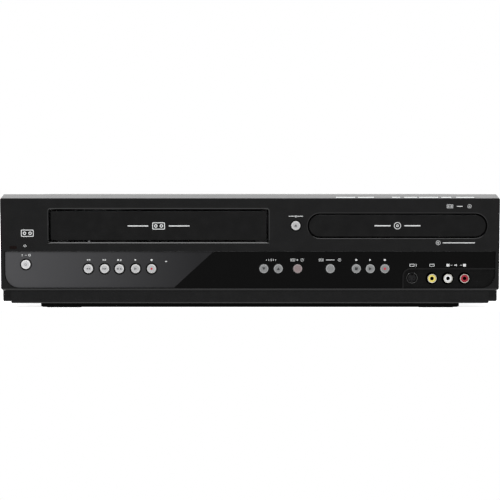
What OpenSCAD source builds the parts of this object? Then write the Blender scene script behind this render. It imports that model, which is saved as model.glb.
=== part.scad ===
// Disc and tape combo recorder: a low black cabinet with a cassette deck on the left
// and a disc drawer on the right, built as separate pieces.
// Millimetres. +X is to the right seen from the front, +Y runs to the back, +Z is up.
// The origin is on the supporting surface, at the centre of the overall box.
// Inside the modules, y is the depth behind the front face; in_frame() moves it into place.

/* [Cabinet] */
// Width of the front panel and cabinet
body_w = 435; // [425:1:450]
// Depth from the front face to the rear panel
body_d = 256; // [252:1:280]
// Height from the supporting surface to the top
body_h = 99.5; // [98.5:0.5:106]
// Thickness of the cabinet's sheet steel
sheet = 0.8; // [0.6:0.1:1]
// How far the steel cover sits inside the front panel's outline at each side
cover_inset = 1; // [0.8:0.1:1.2]
// How far the steel cover sits below the front panel's top
cover_step = 0.6; // [0.4:0.1:1]
// Gap between the front panel's rear edge and the steel cover
seam = 0.3; // [0.2:0.05:0.5]
// Length of one cooling slot in the cover
vent_len = 26; // [20:1:30]
// Width of one cooling slot
vent_w = 2.6; // [2:0.2:3]
// Distance from one cooling slot to the next
vent_pitch = 6.5; // [6:0.25:8]

/* [Front panel] */
// Wall of the moulded front panel
panel_wall = 2.5; // [2.3:0.1:2.7]
// Depth of the panel's top and side returns
panel_depth = 22; // [21:0.5:24]
// Height of the sloping strip along the panel's top edge
slope_rise = 3.5; // [3:0.25:4]
// Depth of that sloping strip
slope_run = 12.6; // [11:0.2:14]
// Height of the main face's lower edge above the surface
face_z = 15.8; // [15.4:0.1:16]
// Height of the plinth's underside above the surface
plinth_z = 4.2; // [3.8:0.1:4.6]
// How far the plinth stops short of the panel at each end
plinth_inset = 8.5; // [7:0.1:10]
// How far the plinth is set back from the main face
plinth_back = 1.8; // [1.4:0.1:2.2]
// Height of the lower edge of the end blocks beside the plinth
block_z = 5.6; // [5.2:0.1:6.2]
// How far the end blocks are set back from the main face
block_back = 6; // [5.6:0.1:6.6]

/* [Control strip] */
// Rim of front panel left below the strip
strip_rim = 2.1; // [1.8:0.1:2.6]
// Height of the strip itself
strip_h = 31.5; // [30.5:0.25:32]
// Border of front panel left at each end of the strip
strip_border = 3.8; // [3.4:0.1:4.2]
// Radius of the strip's two lower corners
strip_r = 12.2; // [11:0.1:13]
// Depth of the strip's face behind the main face
strip_recess = 1; // [0.8:0.1:1.2]
// Thickness of the glossy strip
strip_t = 1.8; // [1.6:0.1:2]
// Width of the jack field at the strip's right end
field_w = 80.6; // [79:0.1:82]
// Height of the jack field
field_h = 17.2; // [16.6:0.1:17.6]
// Radius of the jack field's upper corner
field_r = 7; // [5:0.5:8]
// Width of the rib along the jack field's top and left
field_rib = 1.1; // [0.9:0.1:1.4]
// Depth of the jack field's floor behind the main face
field_floor = 2.2; // [1.8:0.1:2.4]

/* [Cassette door] */
// Width of the cassette opening
slot_w = 192; // [191:0.5:193]
// Height of the cassette opening
slot_h = 29; // [28.6:0.1:29.6]
// Radius of the cassette opening's corners
slot_r = 1.8; // [1.4:0.1:2.2]
// Gap around the cassette door
door_gap = 1.6; // [1.4:0.1:1.8]
// Thickness of the cassette door
door_t = 2.2; // [2:0.1:2.4]
// Depth of the door's face behind the main face
door_recess = 1; // [0.8:0.1:1.2]
// Radius of the door's hinge pins
door_pin_r = 1.5; // [1.3:0.1:1.6]

/* [Disc drawer] */
// Width of the drawer opening
drawer_open_w = 156.9; // [156:0.1:158]
// Height of the drawer opening, which has fully round ends
drawer_open_h = 21.8; // [21.2:0.1:22.4]
// How far the drawer's middle lies below the cassette opening's middle
drawer_drop = 0.1; // [0:0.1:0.6]
// Gap around the drawer's front
drawer_gap = 1.35; // [1.1:0.05:1.5]
// Thickness of the drawer's front
drawer_front_t = 3.4; // [3:0.1:4]
// Width of the drawer tray
tray_w = 130; // [129:0.5:131]
// Length of the drawer tray
tray_l = 172; // [168:1:176]
// Thickness of the drawer tray
tray_t = 6.5; // [6:0.1:7]
// Radius of the disc recess
disc_r = 60.4; // [60.2:0.1:60.8]

/* [Buttons] */
// Radius of a button cap
button_r = 3.85; // [3.7:0.05:4]
// Black gap around each cap
button_gap = 0.95; // [0.7:0.05:1.1]
// Running clearance of a cap in the thin wall that guides it
button_fit = 0.25; // [0.2:0.05:0.3]
// How far a cap stands proud of the main face
button_proud = 0.6; // [0.4:0.1:0.8]
// Travel of a button
button_travel = 0.8; // [0.6:0.1:0.9]
// Height of the two rows of transport buttons above the strip's lower edge
row_rise = 16.7; // [16.2:0.1:17]
// Height of the standby button above the strip's lower edge
standby_rise = 20.4; // [20:0.1:20.8]

/* [Sockets] */
// Outer radius of a phono socket's sleeve
sleeve_r = 4.15; // [4.1:0.05:4.2]
// Wall of a phono socket's sleeve
sleeve_wall = 0.75; // [0.65:0.05:0.85]
// Radius of the centre contact's hole
contact_r = 1.65; // [1.6:0.05:1.7]
// Height of the front phono sockets above the strip's lower edge
phono_rise = 8.2; // [7.9:0.1:8.4]
// Clear ring around each front phono sleeve, for the plug's collar
collar_gap = 1.2; // [1:0.1:1.5]
// Outer radius of the S-video socket
svideo_r = 4.9; // [4.7:0.1:5.2]
// Radius of an antenna socket's thread
antenna_r = 4.75; // [4.7:0.05:4.8]
// Reach of the antenna sockets behind the rear panel
antenna_reach = 9; // [8:0.5:10]
// Radius of the cord hole through the gland
cord_hole_r = 3.6; // [3.4:0.1:3.8]

/* [Cassette deck] */
// Thickness of the deck plate
deck_t = 1.6; // [1.4:0.1:1.8]
// Height of the deck plate's underside
deck_z = 22; // [21.5:0.5:23]
// Distance between the two reel spindles
reel_pitch = 92; // [90:1:94]
// Radius of a reel table
reel_r = 13; // [12:0.5:14]
// Radius of the head drum
drum_r = 31; // [30:0.5:31.5]
// How far the cassette holder travels inwards
holder_in = 46; // [42:1:48]
// How far the cassette holder then sinks
holder_drop = 22; // [20:0.5:22.5]
// Length of the cassette holder
holder_l = 58; // [54:1:60]
// Radius of the capstan shaft
capstan_r = 1.5; // [1.4:0.1:1.6]
// Radius of the pinch roller
pinch_r = 6; // [5.6:0.1:6.2]

/* [Disc mechanism] */
// Radius of the turntable
turntable_r = 15; // [14:0.5:16]
// Module of the drawer's rack and pinion
gear_module = 1.25; // [1.2:0.05:1.3]
// Teeth on the drawer's pinion
gear_teeth = 16; // [15:1:18]
// Travel of the optical pickup
pickup_travel = 30; // [26:1:32]

/* [Fan] */
// Side of the square cooling fan
fan_w = 60; // [58:1:62]
// Thickness of the cooling fan
fan_t = 15; // [14:0.5:16]

/* [Hidden] */

$fn = 48;
eps = 0.01;
touch = 0.1;                       // small play between neighbouring pieces

// Colours
black_abs = [0.07, 0.07, 0.075];
gloss_black = [0.03, 0.03, 0.035];
steel = [0.62, 0.63, 0.64];
dark_steel = [0.1, 0.1, 0.105];
silver = [0.75, 0.76, 0.77];
board_green = [0.09, 0.3, 0.16];
grey_abs = [0.35, 0.35, 0.37];
white_abs = [0.85, 0.85, 0.83];

// Cabinet
left_x = -body_w / 2;
right_x = body_w / 2;
front_y = -(body_d + antenna_reach - button_proud) / 2;
slope_z = body_h - slope_rise;
slope_a = atan(slope_rise / slope_run);
cover_w = body_w - 2 * cover_inset;
cover_z = body_h - cover_step;
cover_d0 = panel_depth + seam;
pan_w = cover_w - 2 * sheet - 2 * touch;
pan_z = plinth_z + panel_wall;
pan_top = pan_z + sheet;
flange_h = 20;
plinth_w = body_w - 2 * plinth_inset;
inner_z = cover_z - sheet;         // underside of the cover
block_in = 0.5;                    // from the main face's ends to the blocks'
block_r = 1.3;
plinth_r = 1;
face_r = 2.2;                      // the main face's lower corners
end_step = 0.8;                    // how far the ends step in above the main face
lip_rise = 1.4;                    // bevel along the main face's lower edge
lip_run = 0.7;
plinth_rise = 0.9;                 // bevel along the plinth's lower edge
plinth_run = 0.6;

// Feet
foot_inset = 33.7;                 // from the cabinet's side to the foot bar's end
foot_back = 6;                     // from the main face to the foot bar
foot_bar_t = 9;
foot_corner = [1.9, 0.8];          // width and height of the bevel at its lower ends
pad_t = 0.5;
rear_foot_r = 12;
rear_foot_inset = 62;
rear_foot_back = 24;

// Control strip and what stands behind it
strip_x0 = left_x + strip_border;
strip_x1 = right_x - strip_border;
strip_z = face_z + strip_rim;
strip_top = strip_z + strip_h;
strip_floor = strip_recess + strip_t;
backing_t = 2;
strip_back = strip_floor + backing_t;
pocket_bevel = 0.5;                // along the panel's edge above the strip
strip_gap = 0.45;                  // shadow line round the strip's ends, foot and jack field
field_x = strip_x1 - field_w;
field_top = strip_z + field_h;
rib_recess = 0.3;

// What the two openings leave of the width and height is shared out in these proportions
width_gaps = [41.8, 33.7, 10.6];   // left of, between and right of the openings
width_step = (body_w - slot_w - drawer_open_w) / (width_gaps * [1, 1, 1]);
height_gaps = [8.3, 12.8];         // below and above the cassette opening
height_step = (body_h - strip_top - slot_h) / (height_gaps * [1, 1]);

// Cassette opening
slot_x0 = left_x + width_gaps[0] * width_step;
slot_x1 = slot_x0 + slot_w;
slot_cx = (slot_x0 + slot_x1) / 2;
slot_z = strip_top + height_gaps[0] * height_step;
slot_top = slot_z + slot_h;
slot_flare = 0.8;                  // width and depth of the bevel along its top and ends
slot_flare_d = 0.4;
sill_drop = 1.7;                   // the steeper bevel under the door
sill_run = 0.9;
door_bevel = 0.5;
door_w = slot_w - 2 * door_gap;
door_r = slot_r - 0.4;
door_lug_r = 2.1;
door_axis_y = panel_wall + door_lug_r + 0.4;
door_axis_z = slot_top + 0.5;
door_reach = door_axis_y + norm([door_axis_y - door_recess, door_axis_z - slot_z - door_gap]);
door_lug_t = 2.5;
ear_gap = 1;
ear_t = 3.5;
pin_fit = 0.08;

// Drawer opening
drawer_x1 = right_x - width_gaps[2] * width_step;
drawer_z = slot_z + slot_h / 2 - drawer_drop;
drawer_cx = drawer_x1 - drawer_open_w / 2;
drawer_x0 = drawer_x1 - drawer_open_w;
drawer_recess = 0.2;
drawer_bevel = 0.4;
drawer_flare_d = 0.2;              // depth of the bevel around the opening, as wide as the other
tray_y0 = drawer_recess + drawer_front_t;
tray_y1 = tray_y0 + tray_l;
tray_top = drawer_z + 1;
tray_bottom = tray_top - tray_t;
disc_cy = tray_y0 + 8 + disc_r;

// Buttons: distances from the left side, or from the right side
row_z = strip_z + row_rise;
standby_x = left_x + 21.8;
standby_z = strip_z + standby_rise;
tape_keys = [for (x = [76.4, 90.5, 103.5, 117.6, 131.6]) left_x + x];
disc_keys = [for (x = [205.4, 192.8, 175.9, 147.4, 124.7, 112.5, 99.8]) right_x - x];
open_x = drawer_x0 - 10.1;
open_z = drawer_z + 0.1;
guide_wall = 0.8;                  // wall left around a cap behind its black gap
cap_bevel = 0.5;
cap_rim = 0.2;                     // flat ring between a cap's bevel and its dish
cap_dish = 0.45;
dish_edge = button_r - cap_bevel - cap_rim;
dish_r = (pow(dish_edge, 2) + pow(cap_dish, 2)) / (2 * cap_dish);
flange_r = button_r + 1.3;
flange_t = 1;
stem_r = 2;
lamp_x = left_x + 11;              // standby lamp above the standby button
lamp_z = strip_top + 3.7;
lamp_w = 6.6;
lamp_h = 2.8;
timer_x = left_x + 144.3;          // small timer lamp beside the tape keys
timer_z = row_z + 6.3;
timer_w = 2.8;
timer_h = 1.5;
window_x0 = timer_x + 13.2;        // window for the display, between the two rows of keys
window_w = disc_keys[0] - 18.1 - window_x0;
window_z0 = strip_z + 10;
window_h = 18;

// Board behind the front panel
board_t = 1.6;
front_board_y = 12;
switch_h = 3.5;
switch_w = 6;
plunger_r = 1.7;
plunger_h = 0.6;
plunger_y = front_board_y - switch_h - plunger_h;
stem_end = plunger_y - button_travel - touch;

// Sockets
svideo_x = right_x - 76;
phono_z = strip_z + phono_rise;
svideo_z = phono_z + 0.4;
phono_xs = [for (x = [58.6, 44.6, 30.2]) right_x - x];
sleeve_front = -0.4;
sleeve_len = 8.4;
phono_body = 13;                   // side of a phono socket's square body
phono_body_y = sleeve_front + sleeve_len;
insert_recess = 0.5;

// Rear face
rear_in = body_d - sheet;          // inner face of the rear panel
av_cols = 5;
av_pitch_x = 14;
av_pitch_z = 14;
av_w = (av_cols + 1) * av_pitch_x;
av_z0 = 34;
av_depth = 12;
av_reach = 8;
av_rim = 9;
av_boss_r = 4.85;                  // boss at the foot of each rear sleeve
av_boss = 1;                       // its height above the rear panel
digital_w = 15;
digital_h = 5.8;
digital_wall = 0.6;
digital_z = 36;
antenna_pitch = 22;
antenna_z = 40;
tuner_side = 13;                   // from an antenna socket to the tuner can's side
tuner_w = antenna_pitch + 2 * tuner_side;
tuner_low = 20;
tuner_high = 14;
power_w = 118;
// The rear row from the left: fan, phono block, digital socket, tuner, power board. What they
// leave of the width is shared out in these proportions, from the left side to the right.
rear_gaps = [32, 29, 7.5, 13.5, 16, 12];
rear_row_w = fan_w + av_w + digital_w + tuner_w + power_w;
rear_step = (body_w - rear_row_w) / (rear_gaps * [1, 1, 1, 1, 1, 1]);
fan_x = left_x + rear_gaps[0] * rear_step + fan_w / 2;
av_x0 = fan_x + fan_w / 2 + rear_gaps[1] * rear_step + av_pitch_x;
digital_x = av_x0 + av_w - av_pitch_x + rear_gaps[2] * rear_step + digital_w / 2;
tuner_x0 = digital_x + digital_w / 2 + rear_gaps[3] * rear_step;
antenna_xs = [tuner_x0 + tuner_side, tuner_x0 + tuner_side + antenna_pitch];
power_x0 = tuner_x0 + tuner_w + rear_gaps[4] * rear_step;
power_x1 = power_x0 + power_w;
gland_x = power_x1 - 18;
gland_z = 30;
gland_r = 6.5;
gland_flange = 2;
gland_len = 12;
fan_z = pan_top + 2 + fan_w / 2;
fan_hole_pitch = fan_w - 10;
rotor_r = fan_w / 2 - 3;
hub_r = fan_w * 0.2;
fan_shaft_r = 1.5;

// Screws
screw_r = 1.4;
screw_head_r = 2.8;
screw_head_h = 1;
screw_hole = screw_r + touch;
screw_len = 6;
side_screw_z = pan_top + flange_h / 2;
side_screw_ys = [cover_d0 + 20, body_d - 24];

// Cassette carriage
holder_w = slot_w - 1.5;
holder_t = 1;
holder_y0 = door_reach + 0.8;
holder_z0 = slot_z - holder_t;
holder_z1 = slot_top - 2.2;
holder_lip = 11;
sled_t = 1.2;
sled_gap = 0.4;
sled_x = holder_w / 2 + sled_gap;
sled_y0 = holder_y0 + 6;
sled_l = 44;
guide_r = 1.6;
guide_fit = 0.25;
guide_z = holder_z1 - 4;           // guide pins of the sled
lift_z = holder_z1 - 13.6;         // guide pins of the holder
sled_z0 = lift_z - holder_drop - 5;
sled_z1 = holder_z1 + 4;
frame_x = sled_x + sled_t + sled_gap;
frame_t = 1.2;
frame_y0 = 29;
frame_y1 = sled_y0 + sled_l + holder_in + 16;
frame_top = inner_z - 3;
tie_w = 9;
rod_r = 2.2;
pin_in = 6;                        // from the sled's ends to its guide pins
lift_in = 14;                      // from the sled's ends to the holder's guide pins

// Cassette deck
deck_half = frame_x + frame_t + 1.05;
deck_x0 = slot_cx - deck_half;
deck_x1 = slot_cx + deck_half;
deck_y0 = frame_y0 - 2;
deck_y1 = rear_in - fan_t - 4.2;
deck_top = deck_z + deck_t;
post_r = 4;
post_in = 8;                       // from the deck plate's edges to its posts
flange_up = 40;
reel_y = 90;
reel_axle_h = 11;
reel_axle_r = 2;
run_fit = 0.05;                    // running clearance of a shaft
drum_x = slot_cx - 8;
tape_push = 112;                   // how far in a cassette reaches when pushed in by hand
tape_end = tape_push + holder_in;  // and when loaded
drum_y = tape_end + (deck_y1 - tape_end) * 28 / 78;
drum_split = deck_top + 15;
drum_h = 15;
drum_gap = 0.4;
drum_axle_r = 3;
capstan_x = drum_x + 50;
capstan_y = drum_y - 23;
flywheel_r = 16;
flywheel_t = 5;
pinch_x = capstan_x + capstan_r + pinch_r + 4.7;
pinch_y = capstan_y + 1.1;
pinch_pivot = [pinch_x - 2.7, pinch_y + 22];
pinch_shaft_r = 1.2;

// Disc loader
loader_y0 = front_board_y + board_t + 4.4;
loader_y1 = tray_y1 + 14.4;
rail_gap = 0.5;
loader_in = tray_w / 2 + rail_gap;
loader_t = 3;
loader_floor_z = tray_bottom - 24;
loader_floor_t = 2;
loader_top = tray_top + 6;
loader_foot_r = 4;
loader_foot_in = 8;
ledge_w = 2.4;
ledge_t = 2;
slot_half = 18;                    // half width of the tray's central channel
spindle_r = 7.3;
traverse_y0 = disc_cy - turntable_r - 8;
traverse_y1 = loader_y1 - 8;
traverse_half = 27;
traverse_z = tray_bottom - 19;
traverse_t = 3;
traverse_pin_r = 2;
traverse_pin_y = traverse_y1 - 5;
turntable_t = 2.5;
turntable_z = tray_bottom - 3.5 - turntable_t;
pickup_y0 = disc_cy + 22;
pickup_l = 22;
rail_r = 1.5;
rail_x = 19;
bridge_w = 26;
bridge_t = 1.5;
clamp_r = 13;
clamp_hole_r = 10.5;

// Rack and pinion
pitch_r = gear_module * gear_teeth / 2;
tip_r = pitch_r + 0.8 * gear_module;
root_r = pitch_r - 1.15 * gear_module;
base_r = pitch_r * cos(20);
tooth_pitch = PI * gear_module;
backlash = 0.16;
rack_top = tray_bottom;
rack_t = 4;
rack_line_x = drawer_cx + tray_w / 2 - 10;   // pitch line of the rack
pinion_x = rack_line_x - pitch_r;
pinion_y = loader_y0 + 10;
pulley_r = 12;
pulley_t = 3;
pulley_z0 = loader_floor_z + loader_floor_t + 0.3;
pinion_z0 = rack_top - rack_t;
pinion_axle_r = 2;
rack_y0 = tray_y0 + 6;
rack_teeth = floor((tray_l - 12) / tooth_pitch);

// Boards
board_foot_r = 3;
board_foot_in = 6;                 // from a board's edges to its feet
board_low = 6;                     // from the bottom chassis to a board's underside
board_z = pan_top + board_low;
board_top = board_z + board_t;
main_x0 = deck_x1 + 0.7;
main_x1 = right_x - 12;
main_y0 = 32;
main_y1 = loader_y1 - 0.8;
power_y0 = loader_y1 + 5.2;
power_y1 = rear_in - 12;
tuner_y0 = loader_y1 + 23.2;

// ---------------------------------------------------------------- helpers

module in_frame() translate([0, front_y, 0]) children();

// A block between two corners
module slab(x0, x1, y0, y1, z0, z1)
    translate([x0, y0, z0]) cube([x1 - x0, y1 - y0, z1 - z0]);

// A round bar along Y, X or Z
module bar_y(x, z, r, y0, y1) translate([x, y0, z]) rotate([-90, 0, 0]) cylinder(r = r, h = y1 - y0);
module bar_x(y, z, r, x0, x1) translate([x0, y, z]) rotate([0, 90, 0]) cylinder(r = r, h = x1 - x0);
module bar_z(x, y, r, z0, z1) translate([x, y, z0]) cylinder(r = r, h = z1 - z0);

// An outline drawn in x and z, given a depth from y0 to y1
module depth(y0, y1) translate([0, y1, 0]) rotate([90, 0, 0]) linear_extrude(y1 - y0) children();

// An outline drawn in y and z, drawn out along x
module along_x(x0, x1) translate([x0, 0, 0]) rotate([90, 0, 90]) linear_extrude(x1 - x0) children();

// An outline drawn in x and y, drawn out along z
module along_z(z0, z1) translate([0, 0, z0]) linear_extrude(z1 - z0) children();

// A block with round corners whose outline shrinks by `grow` from y0 to y1
module tapered(x0, x1, z0, z1, r, y0, y1, grow) {
    along_x(x0 + r, x1 - r)
        polygon([[y0, z0 - grow], [y1, z0], [y1, z1], [y0, z1 + grow]]);
    along_z(z0 + r, z1 - r)
        polygon([[x0 - grow, y0], [x1 + grow, y0], [x1, y1], [x0, y1]]);
    for (x = [x0 + r, x1 - r], z = [z0 + r, z1 - r])
        translate([x, y0, z]) rotate([-90, 0, 0]) cylinder(r1 = r + grow, r2 = r, h = y1 - y0);
}

// The same for a bar with round ends
module tapered_pill(cx, cz, w, h, y0, y1, grow) {
    reach = (w - h) / 2;
    along_x(cx - reach, cx + reach)
        polygon([[y0, cz - h / 2 - grow], [y1, cz - h / 2], [y1, cz + h / 2], [y0, cz + h / 2 + grow]]);
    for (x = [cx - reach, cx + reach])
        translate([x, y0, cz]) rotate([-90, 0, 0]) cylinder(r1 = h / 2 + grow, r2 = h / 2, h = y1 - y0);
}

// The cut of a bevel along a lower front edge at depth y and height z
module lower_bevel(y, z, run, rise)
    along_x(left_x - 1, right_x + 1)
        polygon([[y - run, z + 2 * rise], [y + 2 * run, z - rise], [y - run, z - rise]]);

// A bar with round ends, lying along x
module pill(cx, cz, w, h) {
    translate([cx - w / 2 + h / 2, cz - h / 2]) square([w - h, h]);
    for (s = [-1, 1]) translate([cx + s * (w - h) / 2, cz]) circle(d = h);
}

// A rectangle with round corners
module rounded(x0, x1, z0, z1, r) {
    translate([x0 + r, z0]) square([x1 - x0 - 2 * r, z1 - z0]);
    translate([x0, z0 + r]) square([x1 - x0, z1 - z0 - 2 * r]);
    for (x = [x0 + r, x1 - r], z = [z0 + r, z1 - r]) translate([x, z]) circle(r = r);
}

// The strip's outline: square upper corners, round lower corners
module strip_outline(grow = 0) {
    x0 = strip_x0 - grow;
    x1 = strip_x1 + grow;
    z0 = strip_z - grow;
    r = strip_r + grow;
    translate([x0, z0 + r]) square([x1 - x0, strip_top + min(grow, touch) - z0 - r]);
    translate([x0 + r, z0]) square([x1 - x0 - 2 * r, r + eps]);
    for (x = [x0 + r, x1 - r]) translate([x, z0 + r]) circle(r = r);
}

// The jack field's outline, with one round upper corner
module field_outline(grow = 0) {
    x0 = field_x - grow;
    top = field_top + grow;
    r = field_r + grow;
    translate([x0 + r, strip_z - 1]) square([field_w + 2, top - strip_z + 1]);
    translate([x0, strip_z - 1]) square([r + eps, top - r - strip_z + 1]);
    translate([x0 + r, top - r]) circle(r = r);
}

// ---------------------------------------------------------------- cabinet

// Cross-section of the panel's upper part, set in by a wall
module panel_section(w, y_end, z_low) {
    z_start = slope_z + w * tan(slope_a) - w / cos(slope_a);
    y_turn = slope_run + (w / cos(slope_a) - w) / tan(slope_a);
    polygon([[w, z_low], [w, z_start], [y_turn, body_h - w], [y_end, body_h - w], [y_end, z_low]]);
}

module panel_shell() {
    difference() {
        union() {
            along_x(left_x, right_x) panel_section(0, panel_depth, face_z);
            depth(block_back, panel_depth)
                rounded(left_x + block_in, right_x - block_in, block_z, strip_z, block_r);
            depth(plinth_back, panel_depth)
                rounded(-plinth_w / 2, plinth_w / 2, plinth_z, strip_z, plinth_r);
        }
        along_x(left_x + panel_wall, right_x - panel_wall)
            panel_section(panel_wall, panel_depth + 1, strip_z);
        slab(left_x + panel_wall, right_x - panel_wall, block_back + panel_wall, panel_depth + 1,
            block_z + panel_wall, strip_z + 1);
        slab(-plinth_w / 2 + panel_wall, plinth_w / 2 - panel_wall, plinth_back + panel_wall,
            panel_depth + 1, plinth_z + panel_wall, face_z);
    }
    // backing wall behind the glossy strip
    slab(left_x + panel_wall - eps, right_x - panel_wall + eps, panel_wall - eps, strip_back,
        strip_z - eps, strip_top + 1.8);
}

// Two bearing ears for the cassette door's pins
module door_ears()
    for (s = [-1, 1]) {
        x0 = slot_cx + s * (door_w / 2 + ear_gap) - (s < 0 ? ear_t : 0);
        slab(x0, x0 + ear_t, panel_wall - eps, door_axis_y + 3, door_axis_z - 4, door_axis_z + 4);
    }

// A cap's hole: the black gap around it, then the thin wall that guides it
module button_hole(x, z, wall_y) {
    bar_y(x, z, button_r + button_gap, -1, wall_y - guide_wall);
    bar_y(x, z, button_r + button_fit, -1, wall_y + 1);
}

module front_panel() {
    color(black_abs) difference() {
        union() {
            panel_shell();
            door_ears();
        }
        lower_bevel(0, face_z, lip_run, lip_rise);
        for (s = [0, 1]) mirror([s, 0, 0]) depth(-1, panel_depth + 1)
            polygon([[right_x + 1, slope_z - end_step], [right_x, slope_z - end_step],
                [right_x - end_step, slope_z], [right_x - end_step, body_h + 1],
                [right_x + 1, body_h + 1]]);
        for (s = [0, 1]) mirror([s, 0, 0]) depth(-1, panel_depth + 1) difference() {
            translate([right_x - face_r, face_z - face_r / 4]) square([face_r + 1, face_r * 5 / 4]);
            translate([right_x - face_r, face_z + face_r]) circle(r = face_r);
        }
        intersection() {
            lower_bevel(plinth_back, plinth_z, plinth_run, plinth_rise);
            slab(-plinth_w / 2 - 1, plinth_w / 2 + 1, 0, block_back - 1, 0, face_z);
        }
        // pocket for the glossy strip, and the ribbed jack field left standing in it
        depth(-1, strip_floor) difference() {
            strip_outline(strip_gap);
            field_outline();
        }
        depth(-1, rib_recess) intersection() {
            strip_outline(strip_gap);
            field_outline();
        }
        depth(-1, field_floor) intersection() {
            strip_outline(strip_gap);
            field_outline(-field_rib);
        }
        along_x(strip_x0 - strip_gap, strip_x1 + strip_gap)
            polygon([[-1, strip_top], [pocket_bevel, strip_top], [pocket_bevel, strip_top + touch],
                [0, strip_top + touch + pocket_bevel], [-1, strip_top + touch + pocket_bevel]]);
        // cassette opening, bevelled all round
        depth(-1, panel_wall + 1) rounded(slot_x0, slot_x1, slot_z, slot_top, slot_r);
        tapered(slot_x0, slot_x1, slot_z, slot_top, slot_r, -slot_flare_d, slot_flare_d,
            2 * slot_flare);
        along_x(slot_x0 - slot_flare, slot_x1 + slot_flare)
            polygon([[-1, slot_z - sill_drop], [0, slot_z - sill_drop], [sill_run, slot_z],
                [sill_run, slot_z + eps], [-1, slot_z + eps]]);
        bar_x(door_axis_y, door_axis_z, door_pin_r + pin_fit,
            slot_cx - door_w / 2 - ear_gap - ear_t - 1, slot_cx + door_w / 2 + ear_gap + ear_t + 1);
        // drawer opening
        depth(-1, panel_wall + 1) pill(drawer_cx, drawer_z, drawer_open_w, drawer_open_h);
        tapered_pill(drawer_cx, drawer_z, drawer_open_w, drawer_open_h, -drawer_flare_d,
            drawer_flare_d, 2 * drawer_bevel);
        // button holes
        button_hole(standby_x, standby_z, strip_back);
        for (x = concat(tape_keys, disc_keys)) button_hole(x, row_z, strip_back);
        button_hole(open_x, open_z, panel_wall);
        // lamps and display window
        depth(-1, panel_wall + 1) pill(lamp_x, lamp_z, lamp_w, lamp_h);
        depth(-1, strip_back + 1) pill(timer_x, timer_z, timer_w, timer_h);
        slab(window_x0, window_x0 + window_w, strip_floor - 1, strip_back + 1,
            window_z0, window_z0 + window_h);
        // sockets
        bar_y(svideo_x, svideo_z, svideo_r + touch, -1, strip_back + 1);
        for (x = phono_xs) bar_y(x, phono_z, sleeve_r + collar_gap, -1, strip_back + 1);
    }
}

module control_strip()
    color(gloss_black) difference() {
        depth(strip_recess, strip_floor) difference() {
            strip_outline();
            field_outline(strip_gap);
        }
        bar_y(standby_x, standby_z, button_r + button_gap, 0, strip_floor + 1);
        for (x = concat(tape_keys, disc_keys))
            bar_y(x, row_z, button_r + button_gap, 0, strip_floor + 1);
        depth(0, strip_floor + 1) pill(timer_x, timer_z, timer_w, timer_h);
    }

// Clear lenses over the standby lamp and the timer lamp
module indicator_lenses()
    color([0.25, 0.05, 0.05]) {
        depth(drawer_recess, panel_wall + 2) pill(lamp_x, lamp_z, lamp_w - touch, lamp_h - touch);
        depth(strip_recess, strip_back + 1)
            pill(timer_x, timer_z, timer_w - touch, timer_h - touch);
    }

// One row of cooling slots in the cover
module vent_row(x0, count, y)
    for (i = [0 : count - 1])
        slab(x0 + i * vent_pitch, x0 + i * vent_pitch + vent_w, y, y + vent_len,
            cover_z - 2 * sheet, cover_z + 1);

module top_cover() {
    vents = 9;
    color(dark_steel) difference() {
        union() {
            slab(-cover_w / 2, cover_w / 2, cover_d0, body_d, cover_z - sheet, cover_z);
            for (s = [-1, 1]) {
                x0 = s < 0 ? -cover_w / 2 : cover_w / 2 - sheet;
                slab(x0, x0 + sheet, cover_d0, body_d, block_z, cover_z - sheet + eps);
            }
        }
        vent_row(-cover_w / 2 + 24, vents, body_d - 20 - vent_len);
        vent_row(cover_w / 2 - 24 - vent_w - (vents - 1) * vent_pitch, vents,
            body_d - 20 - vent_len);
        vent_row(cover_w / 2 - 24 - vent_w - (vents - 1) * vent_pitch, vents,
            body_d - 60 - vent_len);
        for (y = side_screw_ys) bar_x(y, side_screw_z, screw_hole, -cover_w, cover_w);
    }
}

module bottom_chassis()
    color(steel) difference() {
        union() {
            slab(-pan_w / 2, pan_w / 2, cover_d0, body_d, pan_z, pan_top);
            slab(-plinth_w / 2 + 2 * panel_wall, plinth_w / 2 - 2 * panel_wall, block_back + 3,
                cover_d0 + eps, pan_z, pan_top);
            for (s = [-1, 1]) {
                x0 = s < 0 ? -pan_w / 2 : pan_w / 2 - sheet;
                slab(x0, x0 + sheet, cover_d0, body_d - 2, pan_top - eps, pan_top + flange_h);
            }
        }
        for (y = side_screw_ys) bar_x(y, side_screw_z, screw_hole, -body_w, body_w);
        // slots for air under the power supply
        for (i = [0 : 5])
            slab(pan_w / 2 - 100 + i * 12, pan_w / 2 - 96 + i * 12, body_d - 68, body_d - 44,
                pan_z - 1, pan_top + 1);
    }

// Round or square holes of the rear panel
module rear_cutouts() {
    for (i = [0 : av_cols - 1], j = [0, 1])
        bar_y(av_x0 + i * av_pitch_x, av_z0 + j * av_pitch_z, av_boss_r + touch, rear_in - 1,
            body_d + 1);
    slab(digital_x - digital_w / 2 - 0.3, digital_x + digital_w / 2 + 0.3, rear_in - 1, body_d + 1,
        digital_z - digital_h / 2 - 0.3, digital_z + digital_h / 2 + 0.3);
    for (x = antenna_xs) bar_y(x, antenna_z, antenna_r + touch, rear_in - 1, body_d + 1);
    bar_y(gland_x, gland_z, gland_r + touch, rear_in - 1, body_d + 1);
    for (p = av_screws()) bar_y(p[0], p[1], screw_hole, rear_in - 1, body_d + 1);
    for (p = fan_screws()) bar_y(p[0], p[1], screw_hole, rear_in - 1, body_d + 1);
    // grille in front of the fan
    intersection() {
        bar_y(fan_x, fan_z, rotor_r, rear_in - 1, body_d + 1);
        for (k = [-4 : 4])
            slab(fan_x - rotor_r, fan_x + rotor_r, rear_in - 1, body_d + 1,
                fan_z + k * 6 - 1.8, fan_z + k * 6 + 1.8);
    }
}

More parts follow.
